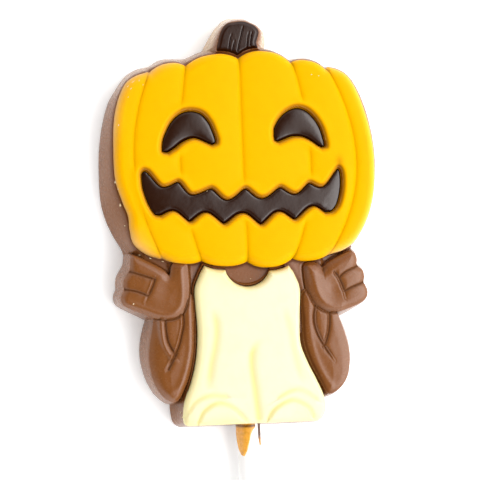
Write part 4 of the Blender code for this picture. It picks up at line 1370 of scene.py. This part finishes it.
class LOLLIPOP_OT_limbs(bpy.types.Operator):
    """Add the hands and sleeves with their creases"""

    bl_idname = "chocolate_lollipop.limbs"
    bl_label = "Hands and sleeves"

    def execute(self, context):
        for number, (name, limb) in enumerate(LIMBS.items()):
            centre = limb["centre"]
            loop = soften(smooth(limb["outline"], LIMB_AROUND, closed=True), 2)
            flat = ring_grid(loop, centre, LIMB_RINGS)
            x, y = flat[:, :, 0], flat[:, :, 1]
            z, crease = limb_top(x, y, limb, loop)
            hub, hub_crease = limb_top(*np.transpose([centre]), limb, loop)
            if name.startswith("sleeve"):
                gap = outside(x, y, hand_loop(name.replace("sleeve", "hand")), 4.0)
                # Moat round the hand, painted with shade
                moat = bell(gap - 0.15, 0.28)
                z -= 0.25 * moat + SLEEVE_UNDER_HAND * step(gap, 0, -0.5)
                crease = np.maximum(crease, 0.9 * moat)
            foot = spread(soften(loop, limb["rounding"]), centre, *limb["spread"])
            edge = mix(*limb["edge"], outwards(loop[:, 0], limb))
            wall, share = sloping_wall(loop, foot, edge, LIMB_BULGE[centre[0] > 0])
            lift = LIFT * (number + 3)
            rings = np.concatenate([np.dstack([flat, z]), wall[1:]]) + (0, 0, lift)
            below = np.repeat(0.8 * np.array(share[1:]), len(loop))
            new_piece(
                name, stack(rings, (*centre, hub[0] + lift), (*centre, lift)),
                finish_of(milk_chocolate), "milk_chocolate", ["milk_body"],
                crease=np.concatenate([crease.ravel(), 0 * below, hub_crease, [0]]),
                wall=np.concatenate([np.zeros(x.size), below, [0, 1]]),
            )
        return {"FINISHED"}


class LOLLIPOP_OT_chest(bpy.types.Operator):
    """Add the milk chocolate that shows round the robe's neck"""

    bl_idname = "chocolate_lollipop.chest"
    bl_label = "Chest"

    def execute(self, context):
        top = sizes().chest_height
        rings, count = CHEST_GRID
        loop = smooth(CHEST, count, closed=True)
        flat = ring_grid(loop, CHEST_CENTRE, rings)
        x, y, inset = survey(flat, loop, 3.0)
        z = top - 0.3 + 0.3 * roll(inset, 0.6) - 2.5 * step(x, -22.3, -25.3)
        from_middle = x - SHOULDER_MIDDLE * np.sign(x)
        z -= np.where(abs(x) < NECK_HALF, NECK_LEAN * x, SHOULDER_LEAN * from_middle)
        shelf = step(abs(x), 16.6, 17.4) * step(y, 33, 33.5)
        z -= SHELF_DROP * shelf
        lit = shelf * (x > 0)
        plan = pumpkin_plan()[0]
        from_head = np.clip(outside(x, y, rim(plan)[::4], 3.0) - 0.3, 0, None)
        from_robe = outside(x, y, rim(robe_plan(plan[-1]))[::3], 3.0)
        # Crease mark: painted shade along the pumpkin's edge, round the robe on the right, round the hands
        # and on the left shelf
        crease = np.maximum(0.8 * bell(from_head, 0.35) * (1 - 0.75 * lit), 0.4 * shelf * (x < 0))
        crease = np.maximum(crease, 0.9 * bell(from_robe - 0.32, 0.22) * step(x, 0, 4))
        for name in ("hand_left", "hand_right"):
            gap = outside(x, y, hand_loop(name), 3.0)
            z += 0.1 * bell(gap - 0.55, 0.2) * (1 - shelf) - 0.3 * bell(gap - 0.1, 0.22)
            dark = 0.85 - 0.45 * shelf - 0.25 * lit
            crease = np.maximum(crease, dark * bell(gap - 0.05, 0.22))
        wall = [at_height(spread(loop, CHEST_CENTRE, away), height) for away, height in CHEST_SIDE]
        foot = (*CHEST_CENTRE, CHEST_SIDE[-1][1])
        shape = stack(np.concatenate([np.dstack([flat, z]), wall]), (*CHEST_CENTRE, top), foot)
        plain = np.zeros(2 * count + 2)
        new_piece(
            "chest", shape, finish_of(milk_chocolate), "milk_chocolate", ["milk_body"],
            crease=np.append(crease, plain), wall=np.append(0 * x, plain),
        )
        return {"FINISHED"}


def on_stick(y, radius, turn):
    """Points round the stick's axis, from their place along it, radius and angle."""
    x = STICK_X + radius * np.cos(turn)
    z = STICK_HEIGHT + radius * np.sin(turn)
    return np.stack(np.broadcast_arrays(x, y, z), axis=-1)


class LOLLIPOP_OT_stick(bpy.types.Operator):
    """Add the round stick"""

    bl_idname = "chocolate_lollipop.stick"
    bl_label = "Stick"

    def execute(self, context):
        turn = np.linspace(0, 2 * pi, STICK_AROUND, endpoint=False)
        curve = np.linspace(0, pi / 2, STICK_CURVE)[:, None]
        ends = STICK_START + STICK_EDGE, STICK_END - STICK_EDGE
        straight = np.linspace(*ends, STICK_ALONG)[1:-1, None]
        y = np.vstack([
            STICK_START + STICK_EDGE * (1 - np.cos(curve)),
            straight,
            STICK_END - STICK_EDGE * (1 - np.sin(curve)),
        ])
        radius = np.vstack([
            STICK_RADIUS - STICK_EDGE * (1 - np.sin(curve)),
            np.full_like(straight, STICK_RADIUS),
            STICK_RADIUS - STICK_EDGE * (1 - np.cos(curve)),
        ])
        tips = [(STICK_X, tip, STICK_HEIGHT) for tip in (STICK_START, STICK_END)]
        shape = stack(on_stick(y, radius, turn), *tips)
        new_piece("stick_rod", shape, finish_of(stick_paper), "white_stick", ["stick"])
        return {"FINISHED"}


def seat_height(x, y):
    """Height of the highest seat under a place, found by a ray from above."""
    start = (Vector((x, y, 30.0)) + Vector(SHIFT)) * MM
    seats = [bpy.data.objects[name] for name in CRUMB_SEATS if name in bpy.data.objects]
    hits = [seat.ray_cast(start, (0.0, 0.0, -1.0)) for seat in seats]
    return max((hit[1][2] / MM - SHIFT[2] for hit in hits if hit[0]), default=0.0)


class LOLLIPOP_OT_crumbs(bpy.types.Operator):
    """Add the pale crumbs and chips that lie on the lollipop, and pale specks as painted highlights"""

    bl_idname = "chocolate_lollipop.crumbs"
    bl_label = "Crumbs"

    def execute(self, context):
        around = np.linspace(0, 2 * pi, CRUMB_AROUND, endpoint=False)
        uneven = 1 + 0.18 * np.sin(3 * around + 1) + 0.1 * np.cos(5 * around)
        circle = np.column_stack([np.cos(around), np.sin(around)]) * uneven[:, None]
        points, faces, count = [], [], 0
        for x, y, radius, longer, degrees in CRUMBS:
            turn = radians(degrees)
            turned = np.array([[cos(turn), sin(turn)], [-sin(turn), cos(turn)]])
            outline = (circle * [radius * longer, radius]) @ turned
            height = CRUMB_HEIGHT * radius
            z = seat_height(x, y) + 0.2 * height
            loops = [
                at_height(outline * sin(polar) + (x, y), z + height * cos(polar))
                for polar in np.linspace(0, pi, CRUMB_RINGS + 2)[1:-1]
            ]
            crumb, sides = stack(loops, (x, y, z + height), (x, y, z - height))
            points.append(crumb)
            faces += [[corner + count for corner in face] for face in sides]
            count += len(crumb)
        shape = np.vstack(points), faces
        new_piece("crumbs", shape, finish_of(crumb_chocolate), "milk_chocolate", ["milk_body"])
        return {"FINISHED"}


class LOLLIPOP_OT_smear(bpy.types.Operator):
    """Add the chocolate that ran on to the stick"""

    bl_idname = "chocolate_lollipop.smear"
    bl_label = "Smear"

    def execute(self, context):
        thickness = sizes().smear_thickness
        films = (
            ("smear", SMEAR_FROM, SMEAR_TO, SMEAR_LENGTHS, thickness),
            ("smear_streak", STREAK_FROM, STREAK_TO, STREAK_LENGTHS, STREAK_THIN * thickness),
        )
        for name, begin, end, lengths, thick in films:
            share = np.linspace(0, 1, FILM_GRID[1])
            down = dense_ends(FILM_GRID[0], 0.4)[:, None]
            turn = np.radians(mix(begin, end, share))
            run = np.interp(share, *np.transpose(lengths))
            y = FILM_START - down * (run + FILM_START)
            beside_it = np.minimum(share, 1 - share) * np.radians(begin - end) * STICK_RADIUS
            inset = np.minimum(beside_it, (1 - down) * run)
            lift = 0.02 + thick * roll(inset, FILM_ROLL)
            sheet = on_stick(y, STICK_RADIUS + lift, turn)
            under = on_stick(y, STICK_RADIUS - FILM_SINK, turn)
            grid = numbers(y)
            faces = cells(grid) + [face[::-1] for face in cells(grid + grid.size)]
            faces += belt(np.vstack([rim(grid), rim(grid) + grid.size]))
            # Darker towards the smear's left edge and along the streak, with painted shadow in a band just
            # under the hem
            if name == "smear":
                dark = 0.9 * bell(share, 0.1) + 0.9 * bell(y, 0.35) + 0.15 * down
            else:
                dark = 1 - 0.5 * step(y, -2.4, -3.9)
            dark = np.clip(dark, 0, 1).ravel()
            shape = np.vstack([sheet.reshape(-1, 3), under.reshape(-1, 3)]), faces
            new_piece(name, shape, finish_of(smear_chocolate), "milk_chocolate", ["milk_body"],
                      thick=np.append(dark, dark))
        return {"FINISHED"}


def look_axes():
    """Camera's right, up and back directions, from its yaw and roll."""
    yaw, roll_angle = radians(CAMERA_YAW), radians(CAMERA_ROLL)
    back = Vector((-sin(yaw), 0, cos(yaw)))
    right = Vector((0, 1, 0)).cross(back).normalized()
    up = back.cross(right)
    c, t = cos(roll_angle), sin(roll_angle)
    return c * right + t * up, -t * right + c * up, back


class LOLLIPOP_OT_stage(bpy.types.Operator):
    """Add the floor, the lights and the camera"""

    bl_idname = "chocolate_lollipop.stage"
    bl_label = "Stage"

    def execute(self, context):
        scene = context.scene
        scene.view_settings.view_transform = "Standard"
        target = (Vector(CAMERA_TARGET) + Vector(SHIFT)) * MM
        right, up, back = look_axes()

        lens = bpy.data.cameras.new("camera")
        lens.sensor_width = SENSOR
        lens.lens = FOCAL_PIXELS / PHOTO_SIZE * SENSOR
        lens.clip_start = 0.01
        camera = bpy.data.objects.new("camera", lens)
        turn = Matrix((right, up, back)).transposed().to_4x4()
        camera.matrix_world = Matrix.Translation(target + back * CAMERA_DISTANCE * MM) @ turn
        scene.collection.objects.link(camera)
        scene.camera = camera

        mesh = bpy.data.meshes.new("floor")
        reach = FLOOR_REACH
        corners = [(-reach, -reach, 0), (reach, -reach, 0), (reach, reach, 0), (-reach, reach, 0)]
        mesh.from_pydata(corners, [], [(0, 1, 2, 3)])
        tone = scene.lollipop_colours.floor
        table = Skin(
            tone, Base_Color=(*tone, 1.0), Roughness=0.6, Specular_IOR_Level=0.2,
            Emission_Color=WHITE, Emission_Strength=FLOOR_GLOW,
        )
        mesh.materials.append(table.material)
        floor = bpy.data.objects.new("floor", mesh)
        scene.collection.objects.link(floor)

        lamp = bpy.data.lights.new("softbox", "AREA")
        lamp.shape = "RECTANGLE"
        lamp.size, lamp.size_y = SOFTBOX_SIZE
        lamp.energy = SOFTBOX_POWER
        softbox = bpy.data.objects.new("softbox", lamp)
        softbox.location = SOFTBOX_PLACE
        softbox.visible_camera = False
        scene.collection.objects.link(softbox)

        world = bpy.data.worlds.new("studio")
        world.use_nodes = True
        room = Nodes(world.node_tree)
        place = room.add("TexCoord", "Generated")
        height = room.add("SeparateXYZ", "Z", {"Vector": place})
        sides = room.add("SeparateXYZ", "X", {"Vector": place})
        lean = room.join(
            room.join(height, cos(ROOM_LEAN)), room.join(sides, -sin(ROOM_LEAN)), "ADD"
        )
        walls = room.join(
            room.levels(lean, ROOM_DARK_FROM, ROOM_BRIGHT_TO, 0.0, ROOM_BRIGHT),
            room.levels(sides, -0.6, 0.6, ROOM_LEFT, 1.0),
        )
        ceiling = room.levels(sides, CEILING_FROM, CEILING_TO, 0.0, CEILING_BRIGHT)
        backdrop = room.tree.nodes["Background"]
        room.tree.links.new(room.join(walls, ceiling, "MAXIMUM"), backdrop.inputs["Strength"])
        backdrop.inputs["Color"].default_value = WHITE
        scene.world = world
        return {"FINISHED"}


OPERATORS = (
    LOLLIPOP_OT_backs,
    LOLLIPOP_OT_chest,
    LOLLIPOP_OT_limbs,
    LOLLIPOP_OT_pumpkin,
    LOLLIPOP_OT_face,
    LOLLIPOP_OT_stem,
    LOLLIPOP_OT_robe,
    LOLLIPOP_OT_stick,
    LOLLIPOP_OT_smear,
    LOLLIPOP_OT_crumbs,
    LOLLIPOP_OT_stage,
)


class LOLLIPOP_PT_panel(bpy.types.Panel):
    """Sizes, colours and pieces of the lollipop"""

    bl_idname = "LOLLIPOP_PT_panel"
    bl_label = "Chocolate Lollipop"
    bl_space_type = "VIEW_3D"
    bl_region_type = "UI"
    bl_category = "Lollipop"

    def draw(self, context):
        column = self.layout.column()
        for operator in OPERATORS:
            column.operator(operator.bl_idname)
        for group in (context.scene.lollipop_sizes, context.scene.lollipop_colours):
            for name in group.__annotations__:
                column.prop(group, name)


CLASSES = (LollipopSizes, LollipopColours, *OPERATORS, LOLLIPOP_PT_panel)


def register():
    for item in CLASSES:
        bpy.utils.register_class(item)
    bpy.types.Scene.lollipop_sizes = PointerProperty(type=LollipopSizes)
    bpy.types.Scene.lollipop_colours = PointerProperty(type=LollipopColours)


def unregister():
    del bpy.types.Scene.lollipop_colours
    del bpy.types.Scene.lollipop_sizes
    for item in reversed(CLASSES):
        bpy.utils.unregister_class(item)


def main():
    """Build every piece in order."""
    register()
    for operator in OPERATORS:
        group, name = operator.bl_idname.split(".")
        getattr(getattr(bpy.ops, group), name)()


if __name__ == "__main__":
    main()
